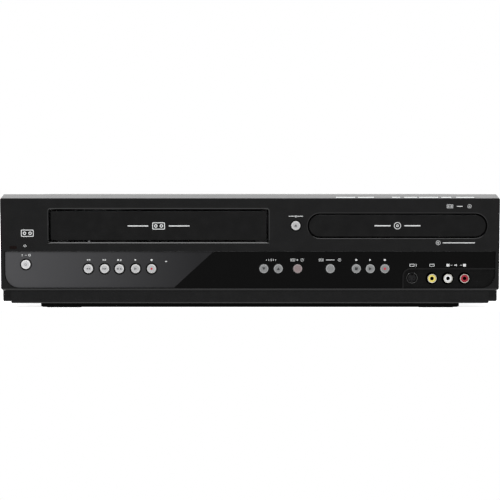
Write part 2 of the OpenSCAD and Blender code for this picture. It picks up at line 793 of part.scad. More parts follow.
function av_screws() = [
    [av_x0 - av_pitch_x + 4, av_z0 + av_pitch_z / 2],
    [av_x0 + av_cols * av_pitch_x - 4, av_z0 + av_pitch_z / 2]];
function fan_screws() = [for (a = [-1, 1], b = [-1, 1])
    [fan_x + a * fan_hole_pitch / 2, fan_z + b * fan_hole_pitch / 2]];

module rear_panel()
    color(steel) difference() {
        union() {
            slab(-pan_w / 2, pan_w / 2, rear_in, body_d, pan_top, inner_z);
            slab(-pan_w / 2 + 2, pan_w / 2 - 2, rear_in - 7, rear_in + eps, pan_top, pan_top + sheet);
        }
        rear_cutouts();
    }

module front_foot_bar() {
    x1 = right_x - foot_inset;
    color(gloss_black) depth(foot_back, foot_back + foot_bar_t)
        polygon([[-x1, plinth_z], [-x1, pad_t + foot_corner[1]], [-x1 + foot_corner[0], pad_t],
            [x1 - foot_corner[0], pad_t], [x1, pad_t + foot_corner[1]], [x1, plinth_z]]);
}

module rear_feet()
    color(black_abs) for (s = [-1, 1])
        bar_z(s * (body_w / 2 - rear_foot_inset), body_d - rear_foot_back, rear_foot_r, pad_t, pan_z);

module foot_pads()
    color([0.16, 0.16, 0.17]) for (s = [-1, 1]) {
        x = s * (right_x - foot_inset - 20);
        slab(x - 15, x + 15, foot_back + 1, foot_back + foot_bar_t - 1, 0, pad_t);
        bar_z(s * (body_w / 2 - rear_foot_inset), body_d - rear_foot_back, rear_foot_r - 3, 0, pad_t);
    }

// A pan-head screw pointing along -Y, its head's underside at y = 0
module screw()
    rotate([90, 0, 0]) {
        cylinder(r = screw_r, h = screw_len);
        translate([0, 0, -screw_head_h]) difference() {
            cylinder(r = screw_head_r, h = screw_head_h);
            for (a = [0, 90]) rotate([0, 0, a])
                translate([-1.6, -0.3, -1]) cube([3.2, 0.6, 1.6]);
        }
    }

module case_screws()
    color(dark_steel) {
        for (y = side_screw_ys) {
            translate([cover_w / 2, y, side_screw_z]) rotate([0, 0, -90]) screw();
            translate([-cover_w / 2, y, side_screw_z]) rotate([0, 0, 90]) screw();
        }
        for (p = concat(av_screws(), fan_screws())) translate([p[0], body_d, p[1]]) screw();
    }

// ---------------------------------------------------------------- sockets and boards

// S-video socket: a ring around a recessed face with a key notch above and four contact holes
module s_video_jack() {
    ring_y = field_floor - 1.6;
    face_y = ring_y + 0.7;
    color(gloss_black) difference() {
        union() {
            bar_y(svideo_x, svideo_z, svideo_r, ring_y, strip_back + touch);
            slab(svideo_x - 6.5, svideo_x + 6.5, strip_back + touch, front_board_y,
                svideo_z - 6.5, svideo_z + 6.5);
        }
        bar_y(svideo_x, svideo_z, svideo_r - 0.7, ring_y - 1, face_y);
        difference() {
            bar_y(svideo_x, svideo_z, svideo_r - 0.7, ring_y, ring_y + 6);
            bar_y(svideo_x, svideo_z, svideo_r - 1.5, 0, ring_y + 7);
        }
        slab(svideo_x - 1.15, svideo_x + 1.15, ring_y, ring_y + 5, svideo_z + 2.2, svideo_z + 4);
        for (p = [[-1.7, -0.4], [1.7, -0.4], [-1, -2.1], [1, -2.1]])
            bar_y(svideo_x + p[0], svideo_z + p[1], 0.45, ring_y, ring_y + 5);
    }
}

module phono_sleeves()
    color(silver) for (x = phono_xs) difference() {
        bar_y(x, phono_z, sleeve_r, sleeve_front, phono_body_y);
        bar_y(x, phono_z, sleeve_r - sleeve_wall, sleeve_front - 1, phono_body_y + 1);
    }

// Coloured insulator and body of one phono socket
module phono_insert(k, c)
    color(c) difference() {
        union() {
            bar_y(phono_xs[k], phono_z, sleeve_r - sleeve_wall, sleeve_front + insert_recess,
                phono_body_y + eps);
            slab(phono_xs[k] - phono_body / 2, phono_xs[k] + phono_body / 2, phono_body_y,
                front_board_y, phono_z - phono_body / 2, phono_z + phono_body / 2);
        }
        bar_y(phono_xs[k], phono_z, contact_r, -1, front_board_y - 1);
    }

module front_board()
    color(board_green) {
        board_x0 = left_x + 9;
        board_x1 = right_x - 9;
        board_z0 = strip_z + 1;
        board_z1 = strip_top + 3;
        slab(board_x0, board_x1, front_board_y, front_board_y + board_t, board_z0, board_z1);
        slab(open_x - 7, open_x + 7, front_board_y, front_board_y + board_t, board_z1 - eps,
            open_z + 6);
        for (p = concat([[standby_x, standby_z], [open_x, open_z]],
                [for (x = concat(tape_keys, disc_keys)) [x, row_z]])) {
            slab(p[0] - switch_w / 2, p[0] + switch_w / 2, front_board_y - switch_h,
                front_board_y + eps, p[1] - switch_w / 2, p[1] + switch_w / 2);
            bar_y(p[0], p[1], plunger_r, plunger_y, front_board_y - switch_h + eps);
        }
        // lamps behind the lenses
        bar_y(lamp_x, lamp_z - 2.4, 1.4, front_board_y - 5, front_board_y + eps);
        bar_y(timer_x, timer_z, 1.4, front_board_y - 5, front_board_y + eps);
    }

module display_module()
    color([0.05, 0.09, 0.09])
        slab(window_x0 + 1, window_x0 + window_w - 1, strip_floor + touch, front_board_y,
            window_z0 + 1, window_z0 + window_h - 1);

// Phono sockets of the rear: one block with a grid of sleeves
module rear_av_jacks()
    color(gloss_black) difference() {
        union() {
            slab(av_x0 - av_pitch_x, av_x0 - av_pitch_x + av_w, rear_in - av_depth, rear_in,
                av_z0 - av_rim, av_z0 + av_pitch_z + av_rim);
            for (i = [0 : av_cols - 1], j = [0, 1]) {
                bar_y(av_x0 + i * av_pitch_x, av_z0 + j * av_pitch_z, sleeve_r, rear_in - eps,
                    body_d + av_reach);
                bar_y(av_x0 + i * av_pitch_x, av_z0 + j * av_pitch_z, av_boss_r, rear_in - eps,
                    body_d + av_boss);
            }
        }
        for (i = [0 : av_cols - 1], j = [0, 1])
            bar_y(av_x0 + i * av_pitch_x, av_z0 + j * av_pitch_z, contact_r, rear_in - 2,
                body_d + av_reach + 1);
        for (p = av_screws()) bar_y(p[0], p[1], screw_hole, rear_in - screw_len - 1, rear_in + 1);
    }

// Two threaded antenna sockets on their tuner can
module antenna_jacks()
    color(silver) difference() {
        union() {
            slab(tuner_x0, tuner_x0 + tuner_w, tuner_y0, rear_in, antenna_z - tuner_low,
                antenna_z + tuner_high);
            for (x = antenna_xs) {
                bar_y(x, antenna_z, antenna_r, rear_in - eps, body_d + antenna_reach);
                translate([x, body_d, antenna_z]) rotate([-90, 0, 0])
                    cylinder(r = antenna_r + 1.6, h = 2, $fn = 6);
            }
        }
        for (x = antenna_xs) bar_y(x, antenna_z, 1.1, body_d, body_d + antenna_reach + 1);
    }

module digital_socket()
    color(silver) difference() {
        slab(digital_x - digital_w / 2, digital_x + digital_w / 2, rear_in - 11, body_d + 0.6,
            digital_z - digital_h / 2, digital_z + digital_h / 2);
        difference() {
            slab(digital_x - digital_w / 2 + digital_wall, digital_x + digital_w / 2 - digital_wall,
                rear_in - 9, body_d + 1, digital_z - digital_h / 2 + digital_wall,
                digital_z + digital_h / 2 - digital_wall);
            slab(digital_x - 5.8, digital_x + 5.8, rear_in - 10, body_d - 1, digital_z - 0.2,
                digital_z + 0.8);
        }
    }

// Bush that lines the mains cord's hole
module cord_gland()
    color(black_abs) difference() {
        union() {
            bar_y(gland_x, gland_z, gland_r, rear_in - gland_len + gland_flange, body_d + eps);
            bar_y(gland_x, gland_z, gland_r + 2, body_d, body_d + gland_flange);
        }
        bar_y(gland_x, gland_z, cord_hole_r, rear_in - gland_len, body_d + gland_flange + 1);
    }

module fan_frame() {
    y0 = rear_in - fan_t;
    color(gloss_black) difference() {
        slab(fan_x - fan_w / 2, fan_x + fan_w / 2, y0, rear_in, fan_z - fan_w / 2, fan_z + fan_w / 2);
        difference() {
            bar_y(fan_x, fan_z, rotor_r, y0 - 1, rear_in + 1);
            bar_y(fan_x, fan_z, hub_r, y0 - 1, y0 + 2);
            for (a = [0 : 90 : 270])
                translate([fan_x, y0, fan_z]) rotate([0, a, 0])
                    translate([-1.5, 0, 0]) cube([3, 2, rotor_r + 1]);
        }
        bar_y(fan_x, fan_z, fan_shaft_r + run_fit, y0 - 1, y0 + 3);
        for (p = fan_screws()) bar_y(p[0], p[1], screw_hole, y0 - 1, rear_in + 1);
    }
}

module fan_rotor() {
    y0 = rear_in - fan_t;
    blades = 7;
    color(grey_abs) {
        bar_y(fan_x, fan_z, hub_r, y0 + 3, rear_in - 1);
        bar_y(fan_x, fan_z, fan_shaft_r, y0 + 0.5, y0 + 3 + eps);
        for (i = [0 : blades - 1])
            intersection() {
                difference() {
                    bar_y(fan_x, fan_z, rotor_r - 1, y0 + 3, rear_in - 1);
                    bar_y(fan_x, fan_z, hub_r - 1, y0, rear_in);
                }
                translate([fan_x, (y0 + 2 + rear_in) / 2, fan_z]) rotate([0, i * 360 / blades, 0])
                    rotate([0, 0, 40]) translate([-8, -0.7, hub_r - 2]) cube([16, 1.4, rotor_r]);
            }
    }
}

// Four feet under a board
module board_feet(x0, x1, y0, y1)
    for (x = [x0 + board_foot_in, x1 - board_foot_in], y = [y0 + board_foot_in, y1 - board_foot_in])
        bar_z(x, y, board_foot_r, pan_top, board_z + eps);

// Board under the disc loader, with openings for the loader's feet
module main_board() {
    chip = 28;
    memory = [12, 18, 1.4];
    memory_pitch = 18;
    can_r = 3.2;
    can_pitch = 12;
    plug = [6, 16, 7];
    plug_pitch = 22;
    base = board_top - eps;
    color(board_green) {
        difference() {
            slab(main_x0, main_x1, main_y0, main_y1, board_z, board_top);
            for (p = loader_feet())
                bar_z(p[0], p[1], loader_foot_r + 1.5, board_z - 1, board_top + 1);
        }
        // the rear feet stand clear of the loader's
        board_feet(main_x0, main_x1, main_y0, main_y1 - 24);
        slab(main_x0 + 60, main_x0 + 60 + chip, main_y0 + 60, main_y0 + 60 + chip, base, board_top + 2);
        for (i = [0 : 2])
            translate([main_x0 + 100 + i * memory_pitch, main_y0 + 62, base]) cube(memory);
        for (i = [0 : 6])
            bar_z(main_x0 + 18 + i * can_pitch, main_y0 + 24, can_r, base, board_top + 9);
        for (i = [0 : 3])
            translate([main_x0 + 8, main_y0 + 36 + i * plug_pitch, base]) cube(plug);
    }
}

// Power supply board: its parts keep their places on it as it grows or shrinks
module power_board() {
    w = power_w / 118;
    d = (power_y1 - power_y0) / 48;
    fin_pitch = 8 * d;
    fin_t = 2 * d;
    base = board_top - eps;
    color([0.45, 0.32, 0.16]) {
        slab(power_x0, power_x1, power_y0, power_y1, board_z, board_top);
        board_feet(power_x0, power_x1, power_y0, power_y1);
        // transformer, main capacitor, finned heat sink and two smaller capacitors
        slab(power_x0 + 14 * w, power_x0 + 46 * w, power_y0 + 8 * d, power_y0 + 36 * d, base,
            board_top + 26);
        bar_z(power_x0 + 66 * w, power_y0 + 22 * d, 11 * min(w, d), base, board_top + 30);
        slab(power_x0 + 84 * w, power_x0 + 87 * w, power_y0 + 6 * d, power_y0 + 42 * d, base,
            board_top + 34);
        for (i = [0 : 4])
            slab(power_x0 + 87 * w - eps, power_x0 + 96 * w, power_y0 + 8 * d + i * fin_pitch,
                power_y0 + 8 * d + i * fin_pitch + fin_t, board_top + 2, board_top + 34);
        for (y = [14, 30])
            bar_z(power_x0 + 108 * w, power_y0 + y * d, 5 * min(w, d), base, board_top + 18);
    }
}

// ---------------------------------------------------------------- cassette deck

module cassette_door() {
    z0 = slot_z + door_gap;
    z1 = slot_top - door_gap;
    y0 = door_recess;
    y1 = y0 + door_t;
    color(black_abs) {
        tapered(slot_cx - door_w / 2, slot_cx + door_w / 2, z0, z1, door_r, y0, y0 + door_bevel,
            -door_bevel);
        depth(y0 + door_bevel - eps, y1)
            rounded(slot_cx - door_w / 2, slot_cx + door_w / 2, z0, z1, door_r);
        for (s = [-1, 1]) {
            xa = slot_cx + s * door_w / 2 - (s > 0 ? door_lug_t : 0);
            slab(xa, xa + door_lug_t, y1 - eps, door_axis_y + door_lug_r, z1 - 8, z1 - 2);
            slab(xa, xa + door_lug_t, door_axis_y - 1, door_axis_y + door_lug_r, z1 - 2 - eps,
                door_axis_z);
            bar_x(door_axis_y, door_axis_z, door_lug_r, xa, xa + door_lug_t);
            xb = slot_cx + s * door_w / 2 - (s < 0 ? ear_gap + ear_t : 0);
            bar_x(door_axis_y, door_axis_z, door_pin_r, xb, xb + ear_gap + ear_t);
        }
    }
}

module deck_plate()
    color(steel) difference() {
        union() {
            slab(deck_x0, deck_x1, deck_y0, deck_y1, deck_z, deck_top);
            // upright flange that stiffens the rear edge
            slab(deck_x0, deck_x1, deck_y1 - deck_t, deck_y1, deck_top - eps, deck_top + flange_up);
            for (x = [deck_x0 + post_in, deck_x1 - post_in],
                    y = [deck_y0 + post_in, deck_y1 - post_in])
                bar_z(x, y, post_r, pan_top, deck_z + eps);
            // axles of the two reel tables, and the pinch arm's pivot
            for (s = [-1, 1])
                bar_z(slot_cx + s * reel_pitch / 2, reel_y, reel_axle_r, deck_top - eps,
                    deck_top + reel_axle_h);
            bar_z(pinch_pivot[0], pinch_pivot[1], reel_axle_r, deck_top - eps, deck_top + 8);
            // capstan bearing
            bar_z(capstan_x, capstan_y, 4.5, deck_top - eps, deck_top + 8);
        }
        bar_z(capstan_x, capstan_y, capstan_r + run_fit, deck_z - 1, deck_top + 9);
        bar_z(drum_x, drum_y, drum_axle_r + 1, deck_z - 1, deck_top + 1);
        // tape guide slots on both sides of the drum
        for (s = [-1, 1])
            translate([drum_x + s * 42, drum_y - 30, deck_z - 1]) rotate([0, 0, s * 12])
                translate([-3, -28, 0]) cube([6, 56, deck_t + 2]);
    }

module lower_drum()
    color(silver) difference() {
        union() {
            bar_z(drum_x, drum_y, drum_r, deck_top, drum_split - drum_gap);
            bar_z(drum_x, drum_y, drum_r + 6, deck_top, deck_top + 4);
        }
        bar_z(drum_x, drum_y, drum_axle_r + run_fit, deck_top - 1, drum_split + 1);
    }

module upper_drum()
    color(silver) difference() {
        union() {
            bar_z(drum_x, drum_y, drum_r, drum_split, drum_split + drum_h);
            bar_z(drum_x, drum_y, drum_axle_r, deck_z, drum_split + eps);
        }
        // shallow well in the top, with the rotor's screws in it
        difference() {
            bar_z(drum_x, drum_y, drum_r - 5, drum_split + drum_h - 3, drum_split + drum_h + 1);
            bar_z(drum_x, drum_y, 9, drum_split, drum_split + drum_h + 2);
        }
        for (a = [0 : 120 : 240])
            translate([drum_x + 16 * cos(a), drum_y + 16 * sin(a), drum_split + 6])
                cylinder(r = 2.4, h = drum_h);
        // notches for the video heads
        for (a = [0, 180])
            translate([drum_x, drum_y, drum_split]) rotate([0, 0, a])
                translate([drum_r - 1.5, -1.5, -1]) cube([3, 3, 3]);
    }

// Two side brackets with a slot each, joined by a tie bar across the top
module carriage_frame()
    color(steel) {
        for (s = [-1, 1]) {
            x0 = slot_cx + (s < 0 ? -frame_x - frame_t : frame_x);
            difference() {
                slab(x0, x0 + frame_t, frame_y0, frame_y1, deck_top, frame_top);
                slab(x0 - 1, x0 + frame_t + 1, sled_y0 + pin_in - guide_r - guide_fit,
                    sled_y0 + sled_l - pin_in + holder_in + guide_r + guide_fit,
                    guide_z - guide_r - guide_fit, guide_z + guide_r + guide_fit);
            }
        }
        slab(slot_cx - frame_x - eps, slot_cx + frame_x + eps, frame_y1 - tie_w, frame_y1,
            frame_top - frame_t, frame_top);
    }

// Sled: two side plates on guide pins, joined by a rod over the holder
module carriage_sled()
    color(grey_abs) {
        for (s = [-1, 1]) {
            x0 = slot_cx + (s < 0 ? -sled_x - sled_t : sled_x);
            xp = slot_cx + (s < 0 ? -frame_x - frame_t - 0.6 : sled_x + eps);
            difference() {
                slab(x0, x0 + sled_t, sled_y0, sled_y0 + sled_l, sled_z0, sled_z1);
                for (y = [sled_y0 + lift_in, sled_y0 + sled_l - lift_in])
                    slab(x0 - 1, x0 + sled_t + 1, y - guide_r - guide_fit, y + guide_r + guide_fit,
                        lift_z - holder_drop - guide_r - guide_fit, lift_z + guide_r + guide_fit);
            }
            for (y = [sled_y0 + pin_in, sled_y0 + sled_l - pin_in])
                bar_x(y, guide_z, guide_r, xp, xp + frame_x - sled_x + frame_t + 0.6);
        }
        bar_x(sled_y0 + sled_l / 2, sled_z1 + rod_r - 1, rod_r, slot_cx - sled_x - sled_t,
            slot_cx + sled_x + sled_t);
    }

// Sheet holder that takes the cassette: roof, two sides, two lips
module cassette_holder()
    color(steel) {
        y1 = holder_y0 + holder_l;
        slab(slot_cx - holder_w / 2, slot_cx + holder_w / 2, holder_y0, y1, holder_z1 - holder_t,
            holder_z1);
        for (s = [-1, 1]) {
            x0 = slot_cx + (s < 0 ? -holder_w / 2 : holder_w / 2 - holder_t);
            slab(x0, x0 + holder_t, holder_y0, y1, holder_z0, holder_z1 - holder_t + eps);
            xl = slot_cx + (s < 0 ? -holder_w / 2 : holder_w / 2 - holder_lip);
            slab(xl, xl + holder_lip, holder_y0, y1, holder_z0, holder_z0 + holder_t);
            xp = slot_cx + (s < 0 ? -sled_x - sled_t : holder_w / 2 - eps);
            for (y = [sled_y0 + lift_in, sled_y0 + sled_l - lift_in])
                bar_x(y, lift_z, guide_r, xp, xp + sled_gap + sled_t + eps);
        }
    }

// Reel table with a splined hub
module reel_table(s)
    color(black_abs) difference() {
        union() {
            bar_z(slot_cx + s * reel_pitch / 2, reel_y, reel_r, deck_top + 0.5, deck_top + 4);
            bar_z(slot_cx + s * reel_pitch / 2, reel_y, 8, deck_top + 4 - eps, deck_top + 6);
            bar_z(slot_cx + s * reel_pitch / 2, reel_y, 5, deck_top + 6 - eps, deck_top + 15);
            for (a = [0 : 60 : 300])
                translate([slot_cx + s * reel_pitch / 2, reel_y, deck_top + 6 - eps])
                    rotate([0, 0, a]) translate([0, -0.7, 0]) cube([7, 1.4, 8]);
        }
        bar_z(slot_cx + s * reel_pitch / 2, reel_y, reel_axle_r + run_fit, deck_top,
            deck_top + reel_axle_h + 0.5);
    }

module capstan()
    color(silver) {
        bar_z(capstan_x, capstan_y, capstan_r, deck_z - 3 - eps, deck_top + 30);
        bar_z(capstan_x, capstan_y, flywheel_r, deck_z - 3 - flywheel_t, deck_z - 3);
    }

// Arm that presses the pinch roller to the capstan
module pinch_arm() {
    z0 = deck_top + 9;
    dx = pinch_x - pinch_pivot[0];
    dy = pinch_y - pinch_pivot[1];
    color(steel) difference() {
        union() {
            bar_z(pinch_pivot[0], pinch_pivot[1], 4.5, deck_top + 1, z0 + 2);
            bar_z(pinch_x, pinch_y, 4, z0, z0 + 2);
            translate([pinch_pivot[0], pinch_pivot[1], z0]) rotate([0, 0, atan2(dy, dx)])
                translate([0, -3, 0]) cube([norm([dx, dy]), 6, 2]);
            bar_z(pinch_x, pinch_y, pinch_shaft_r, z0 + 2 - eps, z0 + 18);
        }
        bar_z(pinch_pivot[0], pinch_pivot[1], reel_axle_r + run_fit, deck_top, deck_top + 8.5);
    }
}

module pinch_roller() {
    z0 = deck_top + 11.3;
    color([0.08, 0.08, 0.08]) difference() {
        bar_z(pinch_x, pinch_y, pinch_r, z0, z0 + 14);
        bar_z(pinch_x, pinch_y, pinch_shaft_r + run_fit, z0 - 1, z0 + 15);
    }
}

// ---------------------------------------------------------------- disc drawer

function loader_feet() = [
    for (a = [-1, 1], y = [loader_y0 + loader_foot_in, loader_y1 - loader_foot_in])
        [drawer_cx + a * (loader_in - loader_foot_r), y]];

module loader_frame()
    color(black_abs) difference() {
        union() {
            slab(drawer_cx - loader_in - loader_t, drawer_cx + loader_in + loader_t, loader_y0,
                loader_y1, loader_floor_z, loader_floor_z + loader_floor_t);
            for (s = [-1, 1]) {
                x0 = drawer_cx + (s < 0 ? -loader_in - loader_t : loader_in);
                slab(x0, x0 + loader_t, loader_y0, loader_y1, loader_floor_z, loader_top);
                // ledge under the tray's edge and tabs over it
                xs = drawer_cx + (s < 0 ? -loader_in - eps : loader_in - ledge_w);
                slab(xs, xs + ledge_w + eps, loader_y0, loader_y1, tray_bottom - rail_gap - ledge_t,
                    tray_bottom - rail_gap);
                for (y = [loader_y0, loader_y0 + 24, loader_y1 - 14])
                    slab(xs, xs + ledge_w + eps, y, y + 12, tray_top + rail_gap,
                        tray_top + rail_gap + ledge_t);
            }
            slab(drawer_cx - loader_in, drawer_cx + loader_in, loader_y1 - 2, loader_y1,
                loader_floor_z, loader_top);
            // feet on the bottom chassis
            for (p = loader_feet())
                bar_z(p[0], p[1], loader_foot_r, pan_top, loader_floor_z + eps);
            // the pinion's axle
            bar_z(pinion_x, pinion_y, pinion_axle_r, loader_floor_z, pinion_z0 + rack_t - 1);
            // bearings of the traverse
            for (s = [-1, 1])
                slab(drawer_cx + s * (traverse_half + 4) - 2, drawer_cx + s * (traverse_half + 4) + 2,
                    traverse_pin_y - 4, traverse_pin_y + 4, loader_floor_z,
                    traverse_z + traverse_t + 3);
        }
        // window under the traverse
        slab(drawer_cx - traverse_half + 4, drawer_cx + traverse_half - 4, traverse_y0 + 6,
            traverse_y1 - 12, loader_floor_z - 1, loader_floor_z + loader_floor_t + 1);
        bar_x(traverse_pin_y, traverse_z + traverse_t / 2, traverse_pin_r + run_fit,
            drawer_cx - traverse_half - 9, drawer_cx + traverse_half + 9);
    }

// Tray: plate with a stepped disc recess, an open channel for the spindle and the pickup,
// and a rack below
module disc_tray()
    color(black_abs) {
        difference() {
            slab(drawer_cx - tray_w / 2, drawer_cx + tray_w / 2, tray_y0, tray_y1, tray_bottom,
                tray_top);
            bar_z(drawer_cx, disc_cy, disc_r, tray_top - 2, tray_top + 1);
            bar_z(drawer_cx, disc_cy, disc_r - 20, tray_top - 3.2, tray_top + 1);
            bar_z(drawer_cx, disc_cy, slot_half, tray_bottom - 1, tray_top + 1);
            slab(drawer_cx - slot_half, drawer_cx + slot_half, disc_cy, tray_y1 + 1,
                tray_bottom - 1, tray_top + 1);
            // finger notches beside the recess
            for (s = [-1, 1])
                bar_z(drawer_cx + s * (disc_r - 6), disc_cy - 34, 9, tray_top - 3.2, tray_top + 1);
        }
        slab(rack_line_x + rack_root(), rack_line_x + rack_root() + 4, rack_y0 - 2,
            rack_y0 + rack_teeth * tooth_pitch + 2, rack_top - rack_t, rack_top + eps);
        for (i = [0 : rack_teeth - 1]) translate([rack_line_x, rack_tooth_y(i), rack_top - rack_t])
            linear_extrude(rack_t) rack_tooth();
    }

// The rack's teeth stand towards -X, on the side where the pinion is
function rack_root() = 1.1 * gear_module;
function rack_tooth_y(i) =
    pinion_y + (i - ceil((pinion_y - rack_y0) / tooth_pitch) + 1) * tooth_pitch;

module rack_tooth() {
    half = tooth_pitch / 4 - backlash / 2;
    tip = 0.8 * gear_module;
    polygon([[-tip, -half + tip * tan(20)], [-tip, half - tip * tan(20)],
        [rack_root() + eps, half + rack_root() * tan(20)],
        [rack_root() + eps, -half - rack_root() * tan(20)]]);
}

// Involute spur pinion, with a gap between two teeth facing the rack
function involute(r) = sqrt(pow(r / base_r, 2) - 1) * 180 / PI - acos(base_r / r);
function flank(r) = 90 / gear_teeth - (backlash / 2 / pitch_r) * 180 / PI
    + involute(pitch_r) - involute(max(r, base_r));

module pinion_outline() {
    steps = 5;
    foot_r = root_r - 0.4;
    foot_a = flank(base_r);
    // one side of a tooth, from below the root circle out to the tip
    side = concat([[foot_r * cos(foot_a), foot_r * sin(foot_a)]],
        [for (i = [0 : steps])
            let (r = base_r + (tip_r - base_r) * i / steps)
                [r * cos(flank(r)), r * sin(flank(r))]]);
    circle(r = root_r);
    for (k = [0 : gear_teeth - 1]) rotate((k + 0.5) * 360 / gear_teeth)
        polygon(concat([for (p = side) [p[0], -p[1]]],
            [for (i = [len(side) - 1 : -1 : 0]) side[i]]));
}

module tray_pinion()
    color(white_abs) difference() {
        union() {
            translate([pinion_x, pinion_y, pinion_z0 + 0.3]) linear_extrude(rack_t - 0.9)
                pinion_outline();
            bar_z(pinion_x, pinion_y, 5, pulley_z0, pinion_z0 + 0.3 + eps);
            bar_z(pinion_x, pinion_y, pulley_r, pulley_z0, pulley_z0 + pulley_t);
        }
        bar_z(pinion_x, pinion_y, pinion_axle_r + run_fit, loader_floor_z, pinion_z0 + rack_t + 1);
    }

// Front of the drawer, fixed to the tray's front edge
module tray_front()
    color(black_abs) {
        w = drawer_open_w - 2 * drawer_gap;
        h = drawer_open_h - 2 * drawer_gap;
        y = drawer_recess + drawer_bevel;
        tapered_pill(drawer_cx, drawer_z, w, h, drawer_recess, y, -drawer_bevel);
        depth(y - eps, tray_y0) pill(drawer_cx, drawer_z, w, h);
    }

module clamp_bridge()
    color(steel) difference() {
        slab(drawer_cx - loader_in - loader_t, drawer_cx + loader_in + loader_t,
            disc_cy - bridge_w / 2, disc_cy + bridge_w / 2, loader_top, loader_top + bridge_t);
        bar_z(drawer_cx, disc_cy, clamp_hole_r, loader_top - 1, loader_top + 3);
    }

// Clamp: a disc under the bridge, hung by a rim above it
module disc_clamp()
    color(white_abs) {
        bar_z(drawer_cx, disc_cy, clamp_r, tray_top + 2.4, loader_top - 0.5);
        bar_z(drawer_cx, disc_cy, clamp_hole_r - 0.8, loader_top - 0.5 - eps,
            loader_top + bridge_t + 0.5);
        bar_z(drawer_cx, disc_cy, clamp_hole_r + 1.6, loader_top + bridge_t + 0.5 - eps,
            loader_top + bridge_t + 1.7);
    }

module traverse() {
    z0 = traverse_z;
    z1 = traverse_z + traverse_t;
    color(grey_abs) difference() {
        union() {
            slab(drawer_cx - traverse_half, drawer_cx + traverse_half, traverse_y0, traverse_y1,
                z0, z1);
            bar_x(traverse_pin_y, (z0 + z1) / 2, traverse_pin_r, drawer_cx - traverse_half - 5.5,
                drawer_cx + traverse_half + 5.5);
            // spindle motor under the turntable
            bar_z(drawer_cx, disc_cy, 11, z0 - 4, z1);
            // blocks that hold the pickup's rails
            for (y = [disc_cy + 17, pickup_y0 + pickup_l + pickup_travel + 2])
                slab(drawer_cx - rail_x - 3, drawer_cx + rail_x + 3, y, y + 3, z1 - eps, z1 + 5);
            for (s = [-1, 1])
                bar_y(drawer_cx + s * rail_x, z1 + 2.5, rail_r, disc_cy + 18,
                    pickup_y0 + pickup_l + pickup_travel + 4);
        }
        slab(drawer_cx - rail_x + 3, drawer_cx + rail_x - 3, pickup_y0 - 1,
            pickup_y0 + pickup_l + pickup_travel + 1, z0 - 1, z1 + 1);
        bar_z(drawer_cx, disc_cy, 1.5 + run_fit, z0 - 5, z1 + 1);
    }
}

module turntable()
    color(white_abs) {
        bar_z(drawer_cx, disc_cy, turntable_r, turntable_z, turntable_z + turntable_t);
        bar_z(drawer_cx, disc_cy, spindle_r, turntable_z + turntable_t - eps,
            turntable_z + turntable_t + 2.5);
        bar_z(drawer_cx, disc_cy, 1.5, traverse_z - 3, turntable_z + eps);
    }

// Pickup: a sled on two rails, with its lens
module pickup() {
    z1 = traverse_z + traverse_t;
    color(grey_abs) {
        difference() {
            slab(drawer_cx - rail_x - 4, drawer_cx + rail_x + 4, pickup_y0, pickup_y0 + pickup_l,
                z1 + 0.3, z1 + 6);
            for (s = [-1, 1])
                bar_y(drawer_cx + s * rail_x, z1 + 2.5, rail_r + run_fit, pickup_y0 - 1,
                    pickup_y0 + pickup_l + 1);
        }
        bar_z(drawer_cx, pickup_y0 + pickup_l / 2, 7, z1 + 6 - eps, z1 + 10);
        bar_z(drawer_cx, pickup_y0 + pickup_l / 2, 3, z1 + 10 - eps, z1 + 12);
    }
}

// ---------------------------------------------------------------- buttons

// A bevelled cap with a shallow dish, a flange behind the wall and a stem to its switch
module button(x, z, wall_y) {
    front = -button_proud;
    color(silver) {
        difference() {
            union() {
                translate([x, front, z]) rotate([-90, 0, 0])
                    cylinder(r1 = button_r - cap_bevel, r2 = button_r, h = cap_bevel);
                bar_y(x, z, button_r, front + cap_bevel - eps, wall_y + touch + eps);
            }
            translate([x, front + cap_dish - dish_r, z]) sphere(r = dish_r);
        }
        bar_y(x, z, flange_r, wall_y + touch, wall_y + touch + flange_t);
        bar_y(x, z, stem_r, wall_y + touch + flange_t - eps, stem_end);
    }
}

// ---------------------------------------------------------------- nodes

in_frame() front_panel();
in_frame() control_strip();
in_frame() indicator_lenses();
in_frame() top_cover();
in_frame() bottom_chassis();
in_frame() rear_panel();
in_frame() front_foot_bar();
in_frame() rear_feet();
in_frame() foot_pads();
in_frame() case_screws();
in_frame() s_video_jack();
in_frame() phono_sleeves();
in_frame() phono_insert(0, [0.9, 0.75, 0.1]);  // phono_insert_video
in_frame() phono_insert(1, [0.92, 0.92, 0.92]);  // phono_insert_left
in_frame() phono_insert(2, [0.75, 0.05, 0.06]);  // phono_insert_right
in_frame() front_board();
in_frame() display_module();
in_frame() rear_av_jacks();
in_frame() antenna_jacks();
in_frame() digital_socket();
in_frame() cord_gland();
in_frame() fan_frame();
in_frame() fan_rotor();
in_frame() main_board();
in_frame() power_board();
in_frame() cassette_door();
in_frame() deck_plate();
in_frame() lower_drum();
in_frame() upper_drum();
in_frame() carriage_frame();
in_frame() carriage_sled();
in_frame() cassette_holder();
in_frame() reel_table(-1);  // supply_reel
in_frame() reel_table(1);  // takeup_reel
in_frame() capstan();
in_frame() pinch_arm();
in_frame() pinch_roller();
in_frame() loader_frame();
in_frame() disc_tray();
in_frame() tray_front();
in_frame() clamp_bridge();
in_frame() disc_clamp();
in_frame() traverse();
in_frame() turntable();
in_frame() pickup();
in_frame() tray_pinion();
in_frame() button(standby_x, standby_z, strip_back);  // standby_button
in_frame() button(tape_keys[0], row_z, strip_back);  // rewind_button
in_frame() button(tape_keys[1], row_z, strip_back);  // forward_button
in_frame() button(tape_keys[2], row_z, strip_back);  // stop_eject_button
in_frame() button(tape_keys[3], row_z, strip_back);  // tape_play_button
in_frame() button(tape_keys[4], row_z, strip_back);  // tape_record_button
in_frame() button(open_x, open_z, panel_wall);  // open_close_button
in_frame() button(disc_keys[0], row_z, strip_back);  // tracking_down_button
